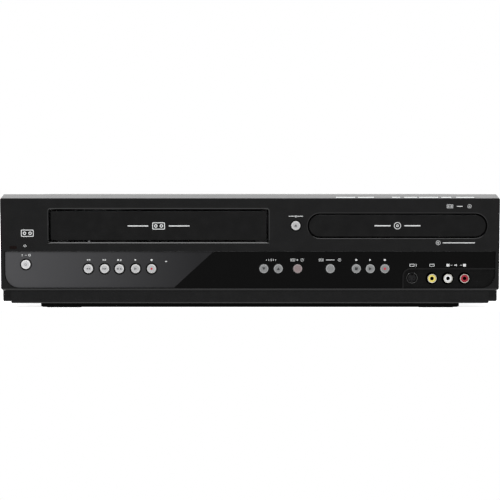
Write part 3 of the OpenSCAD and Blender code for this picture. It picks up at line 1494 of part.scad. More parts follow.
in_frame() button(disc_keys[1], row_z, strip_back);  // tracking_up_button
in_frame() button(disc_keys[2], row_z, strip_back);  // dubbing_button
in_frame() button(disc_keys[3], row_z, strip_back);  // source_button
in_frame() button(disc_keys[4], row_z, strip_back);  // disc_stop_button
in_frame() button(disc_keys[5], row_z, strip_back);  // disc_play_button
in_frame() button(disc_keys[6], row_z, strip_back);  // disc_record_button
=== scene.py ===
# Disc and tape combo recorder: finishes, printed marks, lights and camera.
# Lengths are in millimetres in the helpers and become metres at the mesh.
import math

import bmesh
import bpy
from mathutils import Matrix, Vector


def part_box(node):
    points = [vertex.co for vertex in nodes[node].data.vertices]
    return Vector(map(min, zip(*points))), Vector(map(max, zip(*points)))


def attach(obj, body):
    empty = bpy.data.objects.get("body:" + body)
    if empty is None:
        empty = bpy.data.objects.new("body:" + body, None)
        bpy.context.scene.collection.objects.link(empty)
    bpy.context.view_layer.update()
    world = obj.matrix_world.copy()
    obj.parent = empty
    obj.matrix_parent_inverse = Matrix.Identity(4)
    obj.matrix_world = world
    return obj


MM = 0.001

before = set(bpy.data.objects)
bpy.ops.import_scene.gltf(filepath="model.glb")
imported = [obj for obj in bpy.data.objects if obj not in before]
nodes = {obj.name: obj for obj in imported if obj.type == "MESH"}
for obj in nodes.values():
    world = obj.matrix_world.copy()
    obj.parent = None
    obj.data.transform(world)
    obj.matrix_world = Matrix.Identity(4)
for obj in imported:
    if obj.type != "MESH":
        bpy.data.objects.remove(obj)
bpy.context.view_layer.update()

# ------------------------------------------------------------------ places

panel_low, panel_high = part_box("front_panel")
FRONT = panel_low.y / MM                         # the main front face
TOP = panel_high.z / MM
LEFT = panel_low.x / MM


def box_of(node):
    """Low and high corners of a CAD node's box, in millimetres."""
    return [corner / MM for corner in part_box(node)]


def centre_of(node):
    """Middle of a CAD node's box, in millimetres."""
    low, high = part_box(node)
    return (low + high) / 2 / MM


PHONO_SOCKETS = {name: centre_of("phono_insert_" + name) for name in ("video", "left", "right")}
TAPE_KEYS = ["rewind", "forward", "stop_eject", "tape_play", "tape_record"]
DISC_KEYS = ["tracking_down", "tracking_up", "dubbing", "source",
             "disc_stop", "disc_play", "disc_record"]
KEYS = {name: centre_of(name + "_button")
        for name in ["standby", "open_close"] + TAPE_KEYS + DISC_KEYS}

# ------------------------------------------------------------------ shader helpers


def new_material(name):
    material = bpy.data.materials.new(name)
    material.use_nodes = True
    tree = material.node_tree
    return material, tree, tree.nodes["Principled BSDF"]


def feed(tree, value, target):
    """Gives an input a number, a colour or the output of another node."""
    if isinstance(value, bpy.types.NodeSocket):
        tree.links.new(value, target)
    elif isinstance(value, tuple):
        target.default_value = (*value, 1)
    else:
        target.default_value = value


def object_coords(tree, stretch=(1, 1, 1)):
    """Coordinates in the object's own frame, in metres, stretched for grain with a direction."""
    coords = tree.nodes.new("ShaderNodeTexCoord")
    mapping = tree.nodes.new("ShaderNodeMapping")
    mapping.inputs["Scale"].default_value = stretch
    tree.links.new(coords.outputs["Object"], mapping.inputs["Vector"])
    return mapping.outputs["Vector"]


def separate(tree, vector):
    """The x, y and z of a vector."""
    node = tree.nodes.new("ShaderNodeSeparateXYZ")
    tree.links.new(vector, node.inputs["Vector"])
    return [node.outputs[axis] for axis in "XYZ"]


def calculate(tree, operation, *values):
    """A number worked out from numbers and outputs."""
    node = tree.nodes.new("ShaderNodeMath")
    node.operation = operation
    for value, target in zip(values, node.inputs):
        feed(tree, value, target)
    return node.outputs[0]


def noise(tree, vector, size, detail=3.0):
    """Noise whose blobs are about size millimetres across."""
    node = tree.nodes.new("ShaderNodeTexNoise")
    node.inputs["Scale"].default_value = 1 / (size * MM)
    node.inputs["Detail"].default_value = detail
    node.inputs["Roughness"].default_value = 0.55
    tree.links.new(vector, node.inputs["Vector"])
    return node.outputs["Fac"]


def remap(tree, value, low, high, start=0.3, end=0.7):
    """Takes a value from start..end to low..high and holds it there."""
    node = tree.nodes.new("ShaderNodeMapRange")
    node.inputs["From Min"].default_value = start
    node.inputs["From Max"].default_value = end
    node.inputs["To Min"].default_value = low
    node.inputs["To Max"].default_value = high
    tree.links.new(value, node.inputs["Value"])
    return node.outputs["Result"]


def mix_colors(tree, factor, first, second):
    """Mixes two colours, each a tuple or a socket."""
    node = tree.nodes.new("ShaderNodeMix")
    node.data_type = "RGBA"
    tree.links.new(factor, node.inputs["Factor"])
    for color, socket in ((first, "A"), (second, "B")):
        feed(tree, color, [s for s in node.inputs if s.name == socket and s.type == "RGBA"][0])
    return [s for s in node.outputs if s.type == "RGBA"][0]


def bump(tree, shader, height, depth):
    """Relief of a depth in millimetres."""
    node = tree.nodes.new("ShaderNodeBump")
    node.inputs["Distance"].default_value = depth * MM
    node.inputs["Strength"].default_value = 1.0
    tree.links.new(height, node.inputs["Height"])
    tree.links.new(node.outputs["Normal"], shader.inputs["Normal"])


def scaled(color, factor):
    return tuple(c * factor for c in color)


def grey(level):
    return (level, level, level)


# ------------------------------------------------------------------ kinds of surface

BROAD = 40                                       # slow variation is this much wider than the grain
SHADE_FADE_START, SHADE_FADE_END = -196.0, -84.0             # painted shade darkens the pale keys from the standby key to the tape record key


def finish(name, color, rough, metal=0.0, specular=0.5, grain=0.4, depth=0.01,
           vary=0.08, rough_vary=0.05, stretch=(1, 1, 1), shade_fade=1.0):
    """A surface with fine grain in its relief and slow variation in colour and gloss.

    The last argument paints shade: it is the share of its colour that is left at the right end of
    the tape keys.
    """
    material, tree, shader = new_material(name)
    vector = object_coords(tree, stretch)
    fine = noise(tree, vector, grain)
    broad = noise(tree, vector, grain * BROAD, 2.0)
    shader.inputs["Metallic"].default_value = metal
    shader.inputs["Specular IOR Level"].default_value = specular
    tint = mix_colors(tree, remap(tree, broad, 0, 1),
                      scaled(color, 1 - vary), scaled(color, 1 + vary))
    # Painted shade: the colour darkens towards the right across the tape keys
    if shade_fade < 1:
        x = separate(tree, vector)[0]
        across = remap(tree, x, 0, 1, SHADE_FADE_START * MM, SHADE_FADE_END * MM)
        tint = mix_colors(tree, across, tint, scaled(color, shade_fade))
    feed(tree, tint, shader.inputs["Base Color"])
    gloss = remap(tree, broad, rough - rough_vary, rough + rough_vary)
    feed(tree, gloss, shader.inputs["Roughness"])
    bump(tree, shader, fine, depth)
    return material


SLANT_X, SLANT_Z = -66.1, 18.3                   # lower end of the painted reflection's slanting edge on the strip
SLANT_LEAN = 1.094                               # how far the edge leans over per unit of height
SLANT_BLUR = 0.15
REFLECTION_END = -45.0                                 # the painted reflection's grey gets darker as far as this
# Greys of the painted reflection on the strip's left part; the strip itself is black
STRIP_REFLECTION_GREYS = (0.0665, 0.0665, 0.0695), (0.0158, 0.0158, 0.0168)
STRIP_BLACK = grey(0.0009)


def strip_finish(name):
    """The glossy black strip with a painted reflection: grey on the left up to a slanting edge,
    black on the right.
    """
    material, tree, shader = new_material(name)
    vector = object_coords(tree)
    x, _, z = separate(tree, vector)
    leaning = calculate(tree, "MULTIPLY_ADD", z, -SLANT_LEAN, x)
    edge = SLANT_X - SLANT_LEAN * SLANT_Z
    side = remap(tree, leaning, 0, 1, (edge - SLANT_BLUR) * MM, (edge + SLANT_BLUR) * MM)
    across = remap(tree, x, 0, 1, LEFT * MM, REFLECTION_END * MM)
    # Painted reflection: grey left of the slanting edge, the strip's own black to its right
    color = mix_colors(tree, side, mix_colors(tree, across, *STRIP_REFLECTION_GREYS), STRIP_BLACK)
    feed(tree, color, shader.inputs["Base Color"])
    shader.inputs["Specular IOR Level"].default_value = 0.235
    feed(tree, remap(tree, noise(tree, vector, 30), 0.1, 0.16), shader.inputs["Roughness"])
    bump(tree, shader, noise(tree, vector, 1.2), 0.0015)
    return material


BLACK = (0.005, 0.005, 0.0052)
SILL_TOP = 57.7                                  # upper edge of the sill under the cassette door
# Painted highlight: the sill reflects weakly below these heights and strongly along its upper edge
SHINE_START, SHINE_FULL = SILL_TOP - 1.0, SILL_TOP - 0.8
DULL, SHINY = 0.01, 0.24


def painted_sill_highlight(name):
    """The sill under the cassette door, with a painted highlight: its reflection is turned up along
    its upper edge only.
    """
    material, tree, shader = new_material(name)
    vector = object_coords(tree)
    z = separate(tree, vector)[2]
    shine = remap(tree, z, DULL, SHINY, SHINE_START * MM, SHINE_FULL * MM)
    feed(tree, shine, shader.inputs["Specular IOR Level"])
    feed(tree, BLACK, shader.inputs["Base Color"])
    shader.inputs["Roughness"].default_value = 0.22
    bump(tree, shader, noise(tree, vector, 0.25), 0.003)
    return material


TRACK_SCALE = 260                                # circuit tracks per metre
TRACK_EDGE = (0.04, 0.09)                        # where a track ends, as a share of its cell


def board_finish(name, color, trace):
    """A circuit board: laminate with fine darker and lighter tracks."""
    material, tree, shader = new_material(name)
    vector = object_coords(tree)
    tracks = tree.nodes.new("ShaderNodeTexVoronoi")
    tracks.feature = "DISTANCE_TO_EDGE"
    tracks.inputs["Scale"].default_value = TRACK_SCALE
    tree.links.new(vector, tracks.inputs["Vector"])
    mask = remap(tree, tracks.outputs["Distance"], 0, 1, *TRACK_EDGE)
    feed(tree, mix_colors(tree, mask, trace, color), shader.inputs["Base Color"])
    feed(tree, remap(tree, noise(tree, vector, 8), 0.3, 0.5), shader.inputs["Roughness"])
    bump(tree, shader, tracks.outputs["Distance"], 0.03)
    return material


# ------------------------------------------------------------------ finishes

MOULDED = {"grain": 0.25, "depth": 0.003}        # the black mouldings of the front
EVEN = {"rough_vary": 0.03, **MOULDED}
COLOURED = {"grain": 0.5, "depth": 0.004}
METAL = {"metal": 1.0, "grain": 0.3, "depth": 0.003}
CAP = {"grain": 0.3, "depth": 0.006, "vary": 0.03}
INK = {"grain": 0.3, "depth": 0.002}

# Colour, roughness and the rest of each finish
FINISHES = {
    "panel_black": (BLACK, 0.2, {"specular": 0.42, **EVEN}),
    # Copies of the panel's black that reflect less: painted shade on the flares of the openings and
    # on the lip under the strip
    "flare_shaded_black": (BLACK, 0.22, {"specular": 0.15, **EVEN}),
    "lip_shaded_black": (BLACK, 0.2, {"specular": 0.31, **EVEN}),
    "door_black": ((0.0022, 0.0022, 0.0023), 0.22, {"specular": 0.42, **MOULDED}),
    "field_black": (grey(0.002), 0.24, {"specular": 0.26, **MOULDED}),
    "lens_dark": ((0.006, 0.0025, 0.002), 0.12, {"specular": 0.25, "grain": 2, "depth": 0.001}),
    "cover_black": ((0.007, 0.007, 0.0073), 0.44,
                    {"specular": 0.26, "grain": 0.3, "depth": 0.025, "vary": 0.03,
                     "rough_vary": 0.012}),
    "felt_black": (grey(0.003), 0.9, {"specular": 0.1, "grain": 0.3, "depth": 0.05}),
    "foot_black": (grey(0.001), 0.6, {"specular": 0.05, "grain": 0.5, "depth": 0.02}),
    "pad_rubber": (grey(0.02), 0.85, {"grain": 0.3, "depth": 0.04}),
    "screw_black": ((0.02, 0.02, 0.021), 0.3, {"metal": 0.8, "grain": 0.3, "depth": 0.004}),
    "socket_black": ((0.008, 0.008, 0.0085), 0.22,
                     {"specular": 0.4, "grain": 0.4, "depth": 0.004}),
    "zinc": ((0.46, 0.47, 0.48), 0.34,
             {"metal": 1.0, "grain": 0.5, "depth": 0.006, "vary": 0.14, "rough_vary": 0.09,
              "stretch": (0.12, 1, 1)}),
    "nickel": ((0.72, 0.7, 0.64), 0.22, METAL),
    "nickel_dark": (grey(0.075), 0.3, METAL),
    "rim_cream": ((0.7, 0.68, 0.6), 0.3, {"metal": 0.25, "grain": 0.3, "depth": 0.003}),
    "yellow": ((0.74, 0.62, 0.15), 0.3, COLOURED),
    "white": (grey(0.73), 0.3, COLOURED),
    "red": ((0.33, 0.02, 0.035), 0.3, COLOURED),
    "display": ((0.006, 0.012, 0.012), 0.08, {"grain": 3, "depth": 0.001}),
    "fan_black": (grey(0.012), 0.45, {"grain": 0.4, "depth": 0.012}),
    "turned": ((0.7, 0.71, 0.73), 0.16, {"stretch": (1, 1, 8), **METAL}),
    "ground_steel": ((0.56, 0.57, 0.58), 0.25, METAL),
    "mech_grey": ((0.16, 0.16, 0.17), 0.45, {"grain": 0.5, "depth": 0.01}),
    "mech_black": ((0.014, 0.014, 0.0145), 0.42, {"grain": 0.4, "depth": 0.012}),
    "acetal": ((0.7, 0.69, 0.65), 0.38, {"grain": 0.6, "depth": 0.006}),
    "roller": (grey(0.012), 0.75, {"grain": 0.3, "depth": 0.02}),
    # The pale caps darken towards the right by painted shade
    "key_pale": (grey(0.73), 0.36, {"shade_fade": 0.74, **CAP}),
    # Darker copies of the pale key colour for the disc keys: painted shade, with a rose tint on the
    # dubbing key
    "key_grey": ((0.303, 0.308, 0.31), 0.36, CAP),
    "key_rose": ((0.271, 0.232, 0.231), 0.36, CAP),
    # Darker copies of the key colours: painted shade in the hollows of the caps
    "dish_pale": ((0.5, 0.5, 0.507), 0.36, {"shade_fade": 0.76, **CAP}),
    "dish_grey": ((0.188, 0.192, 0.194), 0.36, CAP),
    "dish_rose": ((0.211, 0.164, 0.166), 0.36, CAP),
    "lamp_grey": ((0.48, 0.485, 0.49), 0.36, CAP),
    "print_dark": ((0.018, 0.018, 0.02), 0.5, {"vary": 0.05, **INK}),
    "print_white": ((0.62, 0.63, 0.63), 0.5, {"vary": 0.04, **INK}),
    "print_grey": ((0.12, 0.12, 0.125), 0.5, INK),
    "print_red": ((0.45, 0.02, 0.04), 0.5, INK),
}
MATERIALS = {name: finish(name, color, rough, **rest)
             for name, (color, rough, rest) in FINISHES.items()}
MATERIALS["strip_painted_reflection"] = strip_finish("strip_painted_reflection")
MATERIALS["sill_painted_highlight"] = painted_sill_highlight("sill_painted_highlight")
MATERIALS["board_green"] = board_finish("board_green", (0.02, 0.12, 0.05), (0.05, 0.2, 0.08))
MATERIALS["board_brown"] = board_finish("board_brown", (0.22, 0.12, 0.045), (0.3, 0.18, 0.08))

NODE_FINISH = {
    "panel_black": ["front_panel"],
    "door_black": ["cassette_door", "tray_front"],
    "strip_painted_reflection": ["control_strip"],
    "lens_dark": ["indicator_lenses"],
    "cover_black": ["top_cover"],
    "zinc": ["bottom_chassis", "rear_panel", "deck_plate", "carriage_frame", "cassette_holder",
             "clamp_bridge"],
    "foot_black": ["front_foot_bar", "rear_feet", "cord_gland"],
    "pad_rubber": ["foot_pads"],
    "screw_black": ["case_screws"],
    "socket_black": ["s_video_jack", "rear_av_jacks"],
    "nickel": ["antenna_jacks", "digital_socket"],
    "rim_cream": ["phono_sleeves"],
    "yellow": ["phono_insert_video"],
    "white": ["phono_insert_left"],
    "red": ["phono_insert_right"],
    "board_green": ["front_board", "main_board"],
    "board_brown": ["power_board"],
    "display": ["display_module"],
    # The fan frame takes the dark felt finish: painted shade that keeps light from showing on its
    # inner walls
    "felt_black": ["fan_frame"],
    "fan_black": ["fan_rotor"],
    "turned": ["lower_drum", "upper_drum"],
    "ground_steel": ["capstan", "pinch_arm"],
    "mech_grey": ["carriage_sled", "traverse", "pickup"],
    "mech_black": ["supply_reel", "takeup_reel", "loader_frame", "disc_tray"],
    "acetal": ["disc_clamp", "turntable", "tray_pinion"],
    "roller": ["pinch_roller"],
    "key_pale": [key + "_button" for key in ["standby", "open_close"] + TAPE_KEYS],
    "key_grey": [key + "_button" for key in DISC_KEYS if key != "dubbing"],
    "key_rose": ["dubbing_button"],
}


def dress(obj, material):
    """Puts a finish in every material slot that a CAD node came with."""
    if not obj.material_slots:
        obj.data.materials.append(None)
    for slot in obj.material_slots:
        slot.material = MATERIALS[material]


for material_name, node_names in NODE_FINISH.items():
    for node_name in node_names:
        dress(nodes[node_name], material_name)

# ------------------------------------------------------------------ second finishes, painted shade and highlights, by place

REGIONS = {}                                     # the second finishes of each node


def paint(node, material, low, high, round_about=None, radius=0.0):
    """Notes that a CAD node's faces inside a box, or inside a disc in it, take a second finish."""
    nodes[node].data.materials.append(MATERIALS[material])
    index = len(nodes[node].data.materials) - 1
    REGIONS.setdefault(node, []).append((index, low, high, round_about, radius))


FAR = 1000.0
BEHIND_FACE = FRONT + 0.02                       # just behind the main front face
FLARE_END = FRONT + 0.95                         # the flares of the openings end here
PANEL_FLOOR = FRONT + 2.5
SILL_LIMIT = SILL_TOP + 0.1
FLARES_LOW, FLARES_HIGH = 50, 66                 # the openings' lower edges lie between these
LIP_LOW, LIP_HIGH = 14.5, 17.0                   # the lip under the strip
FIELD_X, FIELD_TOP = 133.2, 35.0                 # left and upper limits of the jack field
FIELD_FACE = FRONT + 1.5
SOCKET_INSIDE = FRONT + 0.6                      # behind the front faces of the phono sockets
CAP_FRONT = FRONT + 0.2                          # in front of this, only the caps' faces
DISH_SHADE_EDGE = 3.12

# Painted shade: the flares between these heights reflect less than the panel
paint("front_panel", "flare_shaded_black", (-FAR, BEHIND_FACE, SILL_LIMIT), (FAR, FLARE_END, FLARES_HIGH))
# Painted highlight: the sill under the cassette door reflects along its upper edge only
paint("front_panel", "sill_painted_highlight", (-FAR, BEHIND_FACE, FLARES_LOW), (FAR, FLARE_END, SILL_LIMIT))
# Painted shade: the lip under the strip reflects less than the panel
paint("front_panel", "lip_shaded_black", (-FAR, BEHIND_FACE, LIP_LOW), (FAR, PANEL_FLOOR, LIP_HIGH))
paint("front_panel", "field_black", (FIELD_X, FIELD_FACE, -FAR), (FAR, PANEL_FLOOR, FIELD_TOP))
# Painted shade: the bores of the phono sockets are black behind their front faces
for socket in PHONO_SOCKETS:
    paint("phono_insert_" + socket, "felt_black", (-FAR, SOCKET_INSIDE, -FAR), (FAR, FAR, FAR))
# Painted shade: the phono sleeves' outer walls, behind their fronts, take a darker copy of the
# metal
paint("phono_sleeves", "nickel_dark", (-FAR, SOCKET_INSIDE, -FAR), (FAR, FAR, FAR))
# Painted shade: the hollow in the middle of each cap takes a darker copy of its colour
for family in ("pale", "grey", "rose"):
    for key_name in NODE_FINISH["key_" + family]:
        paint(key_name, "dish_" + family, (-FAR, -FAR, -FAR), (FAR, CAP_FRONT, FAR),
              centre_of(key_name), DISH_SHADE_EDGE)

# ------------------------------------------------------------------ edges

FLAT_ANGLE = math.radians(11)                    # facets of one curve meet at less than this
SHARP_ANGLE = math.radians(20)                   # edges sharper than this are rounded
WELD = 0.002                                     # corners closer than this are joined
KEY_EDGE = 0.3

# Width in millimetres of the rounding on each outer node's edges
SOFT_EDGES = {
    "front_panel": 0.2, "cassette_door": 0.35, "tray_front": 0.35,
    "front_foot_bar": 0.3, "rear_feet": 0.4,
    "disc_tray": 0.25, "cassette_holder": 0.2, "phono_sleeves": 0.12, "s_video_jack": 0.15,
}
# Thin sheets and the phono inserts are shaded but keep crisp edges
CRISP = ["top_cover", "rear_panel", "control_strip"] + ["phono_insert_" + s for s in PHONO_SOCKETS]


class Fields:
    """Short calls that add and join the nodes of a geometry node group."""

    def __init__(self, name):
        self.tree = bpy.data.node_groups.new(name, "GeometryNodeTree")
        for way in ("INPUT", "OUTPUT"):
            self.tree.interface.new_socket("Geometry", in_out=way, socket_type="NodeSocketGeometry")

    def add(self, kind, **settings):
        node = self.tree.nodes.new(kind)
        for key, value in settings.items():
            setattr(node, key, value)
        return node

    def join(self, source, target):
        self.tree.links.new(source, target)
        return target.node

    def compare(self, source, operation, value):
        """A yes or no field from a number field and a limit."""
        node = self.add("FunctionNodeCompare", data_type="FLOAT", operation=operation)
        self.join(source, node.inputs[0])
        node.inputs[1].default_value = value
        return node.outputs[0]

    def all_of(self, fields):
        """Yes where every field is yes."""
        result = fields[0]
        for field in fields[1:]:
            node = self.add("FunctionNodeBooleanMath", operation="AND")
            self.join(result, node.inputs[0])
            self.join(field, node.inputs[1])
            result = node.outputs[0]
        return result

    def inside(self, low, high, round_about, radius):
        """Yes inside a box in millimetres, and near an axis along y where one is given."""
        place = self.add("GeometryNodeInputPosition").outputs[0]
        parts = self.add("ShaderNodeSeparateXYZ")
        self.join(place, parts.inputs[0])
        tests = []
        for axis in range(3):
            if low[axis] > -FAR:
                tests.append(self.compare(parts.outputs[axis], "GREATER_THAN", low[axis] * MM))
            if high[axis] < FAR:
                tests.append(self.compare(parts.outputs[axis], "LESS_THAN", high[axis] * MM))
        if round_about is not None:
            flat = self.add("ShaderNodeVectorMath", operation="MULTIPLY")
            self.join(place, flat.inputs[0])
            flat.inputs[1].default_value = (1, 0, 1)
            gap = self.add("ShaderNodeVectorMath", operation="DISTANCE")
            self.join(flat.outputs[0], gap.inputs[0])
            gap.inputs[1].default_value = (round_about.x * MM, 0, round_about.z * MM)
            tests.append(self.compare(gap.outputs["Value"], "LESS_THAN", radius * MM))
        return self.all_of(tests)


def shading(name, regions):
    """A node group that joins a mesh's corners, smooths curves and gives places their finish."""
    f = Fields(name)
    last = f.add("NodeGroupInput").outputs[0]
    bare = f.add("GeometryNodeRemoveAttribute")
    bare.inputs["Name"].default_value = "custom_normal"
    merge = f.add("GeometryNodeMergeByDistance")
    merge.inputs["Distance"].default_value = WELD * MM
    smooth = f.add("GeometryNodeSetShadeSmooth", domain="FACE")
    crease = f.add("GeometryNodeSetShadeSmooth", domain="EDGE")
    crease.inputs["Shade Smooth"].default_value = False
    angle = f.add("GeometryNodeInputMeshEdgeAngle").outputs["Unsigned Angle"]
    f.join(f.compare(angle, "GREATER_THAN", FLAT_ANGLE), crease.inputs["Selection"])
    for node in (bare, merge, smooth, crease):
        last = f.join(last, node.inputs["Geometry"]).outputs[0]
    for index, low, high, round_about, radius in regions:
        choose = f.add("GeometryNodeSetMaterialIndex")
        choose.inputs["Material Index"].default_value = index
        f.join(f.inside(low, high, round_about, radius), choose.inputs["Selection"])
        last = f.join(last, choose.inputs["Geometry"]).outputs[0]
    f.join(last, f.add("NodeGroupOutput").inputs[0])
    return f.tree


def shade(obj):
    """Shades a CAD node through a modifier, so that its mesh stays as it is."""
    modifier = obj.modifiers.new("shading", "NODES")
    modifier.node_group = shading("shading_" + obj.name, REGIONS.get(obj.name, []))


def soften(obj, width):
    """Rounds a CAD node's sharp edges with modifiers, so that its mesh stays as it is."""
    shade(obj)
    bevel = obj.modifiers.new("edges", "BEVEL")
    bevel.width = width * MM
    bevel.segments = 2
    bevel.limit_method = "ANGLE"
    bevel.angle_limit = SHARP_ANGLE
    bevel.use_clamp_overlap = True
    bevel.miter_outer = "MITER_ARC"
    bevel.face_strength_mode = "FSTR_ALL"
    normals = obj.modifiers.new("normals", "WEIGHTED_NORMAL")
    normals.keep_sharp = True
    normals.use_face_influence = True


for node_name in CRISP:
    shade(nodes[node_name])
for node_name, edge_width in SOFT_EDGES.items():
    soften(nodes[node_name], edge_width)
for node_name in NODE_FINISH["key_pale"] + NODE_FINISH["key_grey"] + NODE_FINISH["key_rose"]:
    soften(nodes[node_name], KEY_EDGE)

# ------------------------------------------------------------------ outlines in x and z


def arc(cx, cz, r, start, end, steps):
    """Points on an arc, angles in degrees, both ends included."""
    angles = [math.radians(start + (end - start) * i / steps) for i in range(steps + 1)]
    return [(cx + r * math.cos(a), cz + r * math.sin(a)) for a in angles]


def circle(cx, cz, r, steps=32):
    return arc(cx, cz, r, 0, 360 - 360 / steps, steps - 1)


def bar(cx, cz, w, h, r=None, steps=4):
    """A rectangle with round corners."""
    r = min(w, h) / 2 - 0.001 if r is None else r
    points = []
    for sx, sz, start in ((1, 1, 0), (-1, 1, 90), (-1, -1, 180), (1, -1, 270)):
        points += arc(cx + sx * (w / 2 - r), cz + sz * (h / 2 - r), r, start, start + 90, steps)
    return points


def side_bars(cx, cz, reach, w, h, r=None):
    """Two equal bars, to the left and the right of a middle."""
    return [bar(cx + side * reach, cz, w, h, r) for side in (-1, 1)]


def wedge(cx, cz, w, h, turn):
    """A triangle that points along +X, turned by so many degrees."""
    a = math.radians(turn)
    corners = [(-w / 2, -h / 2), (w / 2, 0), (-w / 2, h / 2)]
    return [(cx + x * math.cos(a) - z * math.sin(a), cz + x * math.sin(a) + z * math.cos(a))
            for x, z in corners]


def inset_ring(outer, inner):
    """A band between two outlines with as many points each."""
    return ("ring", outer, inner)


def round_band(cx, cz, outer, inner, steps=32):
    """A band between two circles."""
    return inset_ring(circle(cx, cz, outer, steps), circle(cx, cz, inner, steps))


def frame_line(cx, cz, w, h, line=0.45, r=2.0):
    """A thin line round a group."""
    return inset_ring(bar(cx, cz, w, h, r), bar(cx, cz, w - 2 * line, h - 2 * line, r - line))


# ------------------------------------------------------------------ pieces

# A finish and its slot
WHITE_INK = ("print_white", "insulator_white")
DARK_INK = ("print_dark", "mech_black")
SHADOW = ("felt_black", "mech_black")
PROUD, SUNK = 0.05, 0.02                         # how far a print stands out and goes in


def add_outline(mesh, outline, near, far):
    """Adds one outline to a bmesh as a closed plate between two depths."""
    loops = outline[1:] if outline[0] == "ring" else [outline]
    rows = [[[mesh.verts.new((x * MM, y * MM, z * MM)) for x, z in loop] for y in (near, far)]
            for loop in loops]
    count = len(loops[0])
    for index, (front_row, back_row) in enumerate(rows):
        for i in range(count):
            j = (i + 1) % count
            quad = [front_row[i], back_row[i], back_row[j], front_row[j]]
            mesh.faces.new(quad if index else quad[::-1])
    if len(rows) == 1:
        mesh.faces.new(rows[0][0])
        mesh.faces.new(rows[0][1][::-1])
        return
    outer, inner = rows
    for side in (0, 1):
        for i in range(count):
            j = (i + 1) % count
            mesh.faces.new([outer[side][i], outer[side][j], inner[side][j], inner[side][i]])


def plates(outlines, near, far):
    """A bmesh of closed plates between two depths."""
    mesh = bmesh.new()
    for outline in outlines:
        add_outline(mesh, outline, near, far)
    return mesh


def add_piece(name, mesh, look, body="cabinet"):
    """Turns a bmesh into a named piece that moves with a body."""
    material, slot = look
    bmesh.ops.recalc_face_normals(mesh, faces=mesh.faces)
    data = bpy.data.meshes.new(name)
    mesh.to_mesh(data)
    mesh.free()
    obj = bpy.data.objects.new(name, data)
    bpy.context.scene.collection.objects.link(obj)
    data.materials.append(MATERIALS[material])
    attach(obj, body)
    return obj


def marks(name, outlines, face, look, body="cabinet", proud=PROUD):
    """Thin plates on a face at depth `face` behind the main face, seen from the front: a print, a
    lamp, painted shade or a painted reflection.
    """
    mesh = plates(outlines, FRONT + face - proud, FRONT + face + SUNK)
    return add_piece(name, mesh, look, body)


# ------------------------------------------------------------------ symbols


def symbol(kind, cx, cz, s):
    """Outlines of a plain transport symbol about 2 s tall."""
    if kind in ("rewind", "forward"):
        turn = 180 if kind == "rewind" else 0
        return [wedge(cx + side * 0.9 * s, cz, 1.6 * s, 1.8 * s, turn) for side in (-1, 1)]
    if kind == "stop_eject":
        return [bar(cx - 1.3 * s, cz, 1.5 * s, 1.5 * s, 0.1 * s), *eject(cx + 1.2 * s, cz, s)]
    if kind in ("tape_play", "disc_play"):
        return [wedge(cx, cz, 1.7 * s, 1.9 * s, 0)]
    if kind in ("tape_record", "disc_record"):
        return [circle(cx, cz, 0.95 * s, 20)]
    if kind == "disc_stop":
        return [bar(cx, cz, 1.6 * s, 1.6 * s, 0.1 * s)]
    if kind in ("tracking_down", "tracking_up"):
        return [wedge(cx, cz, 1.5 * s, 1.8 * s, -90 if kind == "tracking_down" else 90)]
    if kind == "open_close":
        return eject(cx, cz, s)
    return power_symbol(cx, cz, s)


def eject(cx, cz, s):
    return [wedge(cx, cz + 0.3 * s, 1.1 * s, 1.8 * s, 90),
            bar(cx, cz - 0.75 * s, 1.8 * s, 0.35 * s, 0.05 * s)]


def power_symbol(cx, cz, s):
    """A circle open at the top, with a stroke in the gap."""
    gap = 32                                     # half the opening, in degrees
    outer = arc(cx, cz, s, 90 + gap, 450 - gap, 24)
    inner = arc(cx, cz, 0.74 * s, 450 - gap, 90 + gap, 24)
    return [outer + inner, bar(cx, cz + 0.55 * s, 0.26 * s, 1.0 * s, 0.08 * s)]


def disc_symbol(cx, cz, r):
    return [round_band(cx, cz, r, r * 0.84), round_band(cx, cz, r * 0.36, r * 0.2)]


def tape_symbol(cx, cz, w):
    """A cassette: a rounded frame with two reels."""
    h = w * 0.56
    line = w * 0.06
    r = h * 0.14
    outline = inset_ring(bar(cx, cz, w, h, r),
                         bar(cx, cz, w - 2 * line, h - 2 * line, r - line * 0.4))
    reels = [round_band(cx + s * w * 0.22, cz, h * 0.24, h * 0.12, 20) for s in (-1, 1)]
    return [outline, *reels]


def screen_symbol(cx, cz):
    return inset_ring(bar(cx, cz, 4.2, 2.3, 0.5), bar(cx, cz, 3.4, 1.5, 0.3))


# ------------------------------------------------------------------ prints on the key caps

DISH_R = 11.3                                    # radius of the hollow in a key cap
CAP_FACE = -0.15                                 # middle of a cap's dish, from the main face
RED_INK = ("print_red", "insulator_red")
CAP_INK = {"tape_record": RED_INK, "disc_record": RED_INK}
for key in ("open_close", "tracking_down", "tracking_up", "disc_stop", "disc_play"):
    CAP_INK[key] = ("print_dark", "mech_plastic")
CAP_SCALE = {"open_close": 1.25, "tape_play": 1.3, "tracking_down": 1.5, "tracking_up": 1.5,
             "disc_stop": 1.5, "disc_play": 1.5, "disc_record": 1.1}
BARE_CAPS = ("dubbing", "source")

for key, middle in KEYS.items():
    if key in BARE_CAPS:
        continue
    outlines = symbol(key, middle.x, middle.z, CAP_SCALE.get(key, 1.0))
    glyph = marks(key + "_cap_mark", outlines, CAP_FACE,
                  CAP_INK.get(key, ("print_grey", "mech_plastic")), key + "_button_key")
    for vertex in glyph.data.vertices:           # the plates follow the hollow of the cap
        reach = math.hypot(vertex.co.x / MM - middle.x, vertex.co.z / MM - middle.z)
        vertex.co.y -= reach * reach / (2 * DISH_R) * MM

# ------------------------------------------------------------------ prints and painted shade on the strip

